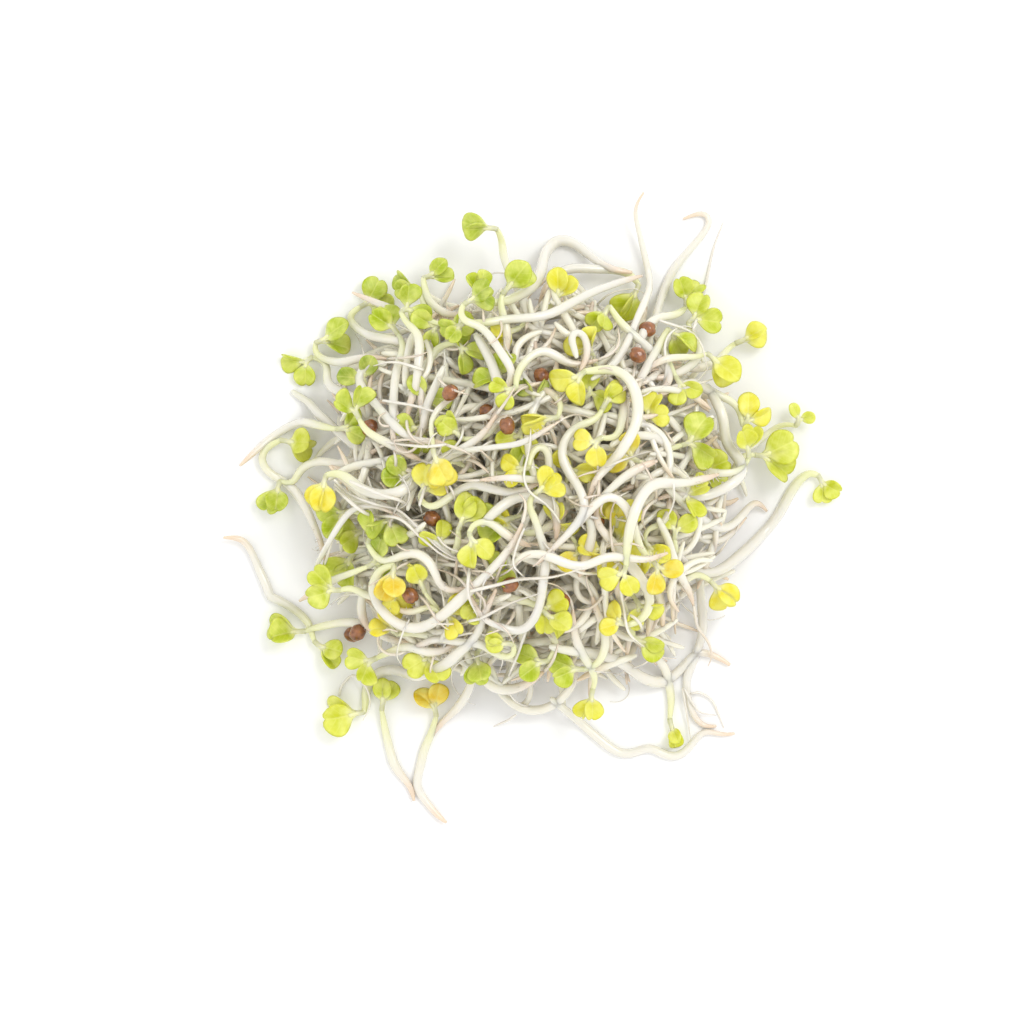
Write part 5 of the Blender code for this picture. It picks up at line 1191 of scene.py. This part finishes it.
def blend(tree, share, one, two):
    """One colour mixed into another."""
    node = tree.nodes.new("ShaderNodeMix")
    node.data_type = "RGBA"
    tree.links.new(share, node.inputs[0])
    for value, socket in ((one, node.inputs[6]), (two, node.inputs[7])):
        if isinstance(value, bpy.types.NodeSocket):
            tree.links.new(value, socket)
        else:
            socket.default_value = (*value, 1)
    return node.outputs[2]


def scaled(tree, value, by, add=0.0):
    """A number times another, plus a third, kept between 0 and 1."""
    result = calculated(tree, "MULTIPLY_ADD", value, by, add)
    result.node.use_clamp = True
    return result


def calculated(tree, operation, *values):
    """The result of a Math node."""
    node = tree.nodes.new("ShaderNodeMath")
    node.operation = operation
    for value, socket in zip(values, node.inputs):
        if isinstance(value, bpy.types.NodeSocket):
            tree.links.new(value, socket)
        else:
            socket.default_value = value
    return node.outputs[0]


def ranged(tree, value, start, end):
    """0 where the value is at the start and 1 where it is at the end."""
    node = tree.nodes.new("ShaderNodeMapRange")
    tree.links.new(value, node.inputs["Value"])
    node.inputs["From Min"].default_value = start
    node.inputs["From Max"].default_value = end
    return node.outputs[0]


def noise(tree, scale, detail=3.0):
    """Noise over the piece, with a scale in waves to the metre."""
    place = tree.nodes.new("ShaderNodeTexCoord")
    node = tree.nodes.new("ShaderNodeTexNoise")
    node.inputs["Scale"].default_value = scale
    node.inputs["Detail"].default_value = detail
    tree.links.new(place.outputs["Object"], node.inputs["Vector"])
    return node.outputs["Fac"]


def bumped(tree, shader, height, strength, depth):
    """Gives the shader a bump from a height."""
    node = tree.nodes.new("ShaderNodeBump")
    node.inputs["Strength"].default_value = strength
    node.inputs["Distance"].default_value = depth
    tree.links.new(height, node.inputs["Height"])
    tree.links.new(node.outputs["Normal"], shader.inputs["Normal"])


def glow(shader, weight, radius, scale):
    """Light that goes a little way into a moist skin."""
    shader.inputs["Subsurface Weight"].default_value = weight
    shader.inputs["Subsurface Radius"].default_value = radius
    shader.inputs["Subsurface Scale"].default_value = scale


def stem_material():
    """Cream white, slightly see-through, moist skin: greenish by the leaves and tan at the root, with
    painted light making the deep stems paler.
    """
    made, tree, shader = node_material("sprout_stem", 0.27)
    colour = blend(tree, scaled(tree, noise(tree, 420), 1.6, -0.4), STEM_SHADE, STEM_WHITE)
    # Painted light: a large share of this pale warm cream makes the deep stems look lit through.
    colour = blend(tree, scaled(tree, attribute(tree, "tint"), 0.6), colour, STEM_WARM_TONE_AND_LIFT)
    colour = blend(tree, scaled(tree, attribute(tree, "green"), 0.8), colour, STEM_GREEN)
    colour = blend(tree, scaled(tree, attribute(tree, "tan"), 0.75), colour, STEM_TAN)
    tree.links.new(colour, shader.inputs["Base Color"])
    glow(shader, 0.5, (1.0, 0.94, 0.82), 0.0012)
    shader.inputs["Coat Weight"].default_value = 0.5
    shader.inputs["Coat Roughness"].default_value = 0.08
    bumped(tree, shader, noise(tree, 2600, 2), 0.25, 0.00005)
    return made


def leaf_material():
    """Soft yellow-green skin, paler at the stalk, with a faint middle vein."""
    made, tree, shader = node_material("seed_leaf", 0.4)
    ramp = tree.nodes.new("ShaderNodeValToRGB")
    stops = ramp.color_ramp.elements
    for place, colour in LEAF_COLOURS[1:-1]:
        stops.new(place)
    for stop, (place, colour) in zip(stops, LEAF_COLOURS):
        stop.position, stop.color = place, (*colour, 1)
    tree.links.new(attribute(tree, "hue"), ramp.inputs[0])
    colour = ramp.outputs[0]
    colour = blend(tree, scaled(tree, noise(tree, 650), 1.5, -0.5), colour, LEAF_LIGHT)
    foot = ranged(tree, attribute(tree, "along"), 0.4, 0.0)
    colour = blend(tree, scaled(tree, foot, 0.92), colour, LEAF_STALK)
    aside = calculated(tree, "ABSOLUTE", attribute(tree, "across"))
    middle_vein = ranged(tree, aside, 0.045, 0.0)
    slant = calculated(tree, "MULTIPLY_ADD", aside, -0.9, attribute(tree, "along"))
    step = calculated(tree, "PINGPONG", slant, VEIN_SPACING / 2)
    side_veins = scaled(tree, ranged(tree, step, VEIN_SPACING * 0.12, 0.0), 0.5)
    veins = calculated(tree, "MAXIMUM", middle_vein, side_veins)
    colour = blend(tree, scaled(tree, veins, 0.32), colour, LEAF_LIGHT)
    colour = blend(tree, ranged(tree, noise(tree, 900, 4), 0.74, 0.8), colour, LEAF_SPECK)
    tree.links.new(colour, shader.inputs["Base Color"])
    glow(shader, 0.35, (0.8, 0.9, 0.12), 0.0009)
    skin = calculated(tree, "MULTIPLY_ADD", veins, 0.6, noise(tree, 2200, 3))
    bumped(tree, shader, skin, 0.35, 0.00006)
    return made


def seed_material():
    """Red-brown, finely pitted and glossy seed coat."""
    made, tree, shader = node_material("seed_coat", 0.22)
    colour = blend(tree, scaled(tree, noise(tree, 1400, 4), 2.0, -0.5), SEED_DARK, SEED_LIGHT)
    tree.links.new(colour, shader.inputs["Base Color"])
    shader.inputs["Coat Weight"].default_value = 0.7
    shader.inputs["Coat Roughness"].default_value = 0.06
    bumped(tree, shader, noise(tree, 5200, 3), 0.5, 0.00008)
    return made


def grow_heap():
    """Replaces every solid of the heap by what it stands for, and adds what is too fine for the solids."""
    strands = all_strands()
    heap = Heap(strands)
    bundle_of, welds = heap.bundle()
    heap.ease(welds)
    heap.points -= [*PLAN_CENTRE, 0]
    stem_skin, leaf_skin, seed_skin = stem_material(), leaf_material(), seed_material()
    bundles, low_leaves = {}, {}
    leaf_number = seed_number = 0
    for number, strand in enumerate(strands):
        draw = np.random.default_rng([LOOK_SEED, number])
        stem = heap.points[heap.stem_slice(number)]
        if not strand.spec:
            seed_number += 1
            coat = Growth()
            coat.add(*seed_shape(stem[0], seed_number))
            coat.finish(f"coat_{seed_number}", seed_skin, "seed", f"seed_{seed_number}")
            continue
        bundle = bundle_of[number]
        if bundle not in bundles:
            bundles[bundle], low_leaves[bundle] = Growth(*STEM_VALUES), Growth(*LEAF_VALUES)
        leafy = strand.spec.leaf is not None
        grow_stem(bundles[bundle], stem, strand.spec.radius, leafy, draw)
        if leafy:
            out = unit(stem[0] - stem[1])
            x, y, length = strand.spec.leaf[:3]
            low = strand.spec.level[0] < BURIED_LEVEL
            pair = low_leaves[bundle] if low else Growth(*LEAF_VALUES)
            grow_leaves(pair, stem[0], strand.heading, strand.lobes, length, out, hue_at(x, y, draw), draw)
            if not low:
                leaf_number += 1
                pair.finish(f"pair_{leaf_number:02}", leaf_skin, "leaf", f"leaves_{leaf_number:02}")
    for place, bundle in enumerate(bundles, 1):
        bundles[bundle].finish(f"sprouts_{place:02}", stem_skin, "stem", f"stems_{place:02}")
        if low_leaves[bundle].count:
            low_leaves[bundle].finish(f"low_leaves_{place:02}", leaf_skin, "leaf")

    surface = Surface(heap)
    deep, roots, leaves, coats = Growth(*STEM_VALUES), Growth(*STEM_VALUES), Growth(*LEAF_VALUES), Growth()
    for number, strand in enumerate(strands[len(BED):], len(BED)):
        stem = heap.points[heap.stem_slice(number)]
        if strand.spec and np.hypot(*stem[-1][:2]) < ROOTED:
            grow_hairs(roots, stem, strand.spec.radius, seeded(HAIR_DRAWS, number))
    grow_deep_stems(deep, heap.points[heap.rigid])
    grow_deep_leaves(leaves, deep)
    grow_roots(roots, heap, surface)
    for number, (x, y) in enumerate(DEEP_SEEDS):
        middle = np.array([x, y]) - PLAN_CENTRE
        rise = max(float(dome(np.array([[x, y]]))[0]) * DEEP_SEED_RISE, SEED_RADIUS)
        coats.add(*seed_shape(np.array([*middle, rise]), number + 20))
    deep.finish("deep_stems", stem_skin, "stem")
    leaves.finish("deep_leaves", leaf_skin, "leaf")
    roots.finish("thin_roots", stem_skin, "stem")
    coats.finish("deep_coats", seed_skin, "seed")


def floor_and_light():
    """A plain pale floor under soft light."""
    bpy.ops.mesh.primitive_plane_add(size=FLOOR_SIZE)
    floor = bpy.context.object
    floor.name = "floor"
    made, _, shader = node_material("pale_floor", 0.9)
    shader.inputs["Base Color"].default_value = (*FLOOR_COLOUR, 1)
    floor.data.materials.append(made)

    world = bpy.data.worlds.new("soft_white")
    bpy.context.scene.world = world
    world.use_nodes = True
    sky = world.node_tree.nodes["Background"]
    sky.inputs["Color"].default_value = (1, 1, 1, 1)
    sky.inputs["Strength"].default_value = SKY

    for name, place, size, power in LAMPS:
        data = bpy.data.lights.new(name, "AREA")
        data.size = size
        data.energy = power
        lamp = bpy.data.objects.new(name, data)
        lamp.location = place
        lamp.rotation_euler = (-lamp.location).to_track_quat("-Z", "Y").to_euler()
        bpy.context.scene.collection.objects.link(lamp)


FLOOR_SIZE = 3
FLOOR_COLOUR = (0.95, 0.95, 0.95)
SKY = 0.98
LAMPS = [("key", (0.35, 0.3, 0.7), 0.3, 2.1), ("fill", (-0.5, -0.3, 0.6), 0.8, 1.0)]  # name, place, size, W

PIXELS_PER_MM = 8.0
IMAGE_SIZE = 1024
PLAN_PIXEL = (528, 488)  # of the heap's plan origin, before it is moved to the middle of the outline
CAMERA_HEIGHT = 1.2


def camera():
    """Straight above, framed as the photograph is."""
    data = bpy.data.cameras.new("camera")
    data.lens = data.sensor_width * CAMERA_HEIGHT / (IMAGE_SIZE / PIXELS_PER_MM * MM)
    data.clip_end = 10
    made = bpy.data.objects.new("camera", data)
    half = IMAGE_SIZE / 2
    x = (half - PLAN_PIXEL[0]) / PIXELS_PER_MM - PLAN_CENTRE[0]
    y = (PLAN_PIXEL[1] - half) / PIXELS_PER_MM - PLAN_CENTRE[1]
    made.location = (x * MM, y * MM, CAMERA_HEIGHT)
    bpy.context.scene.collection.objects.link(made)
    bpy.context.scene.camera = made


bpy.context.scene.view_settings.view_transform = "Standard"
grow_heap()
floor_and_light()
camera()
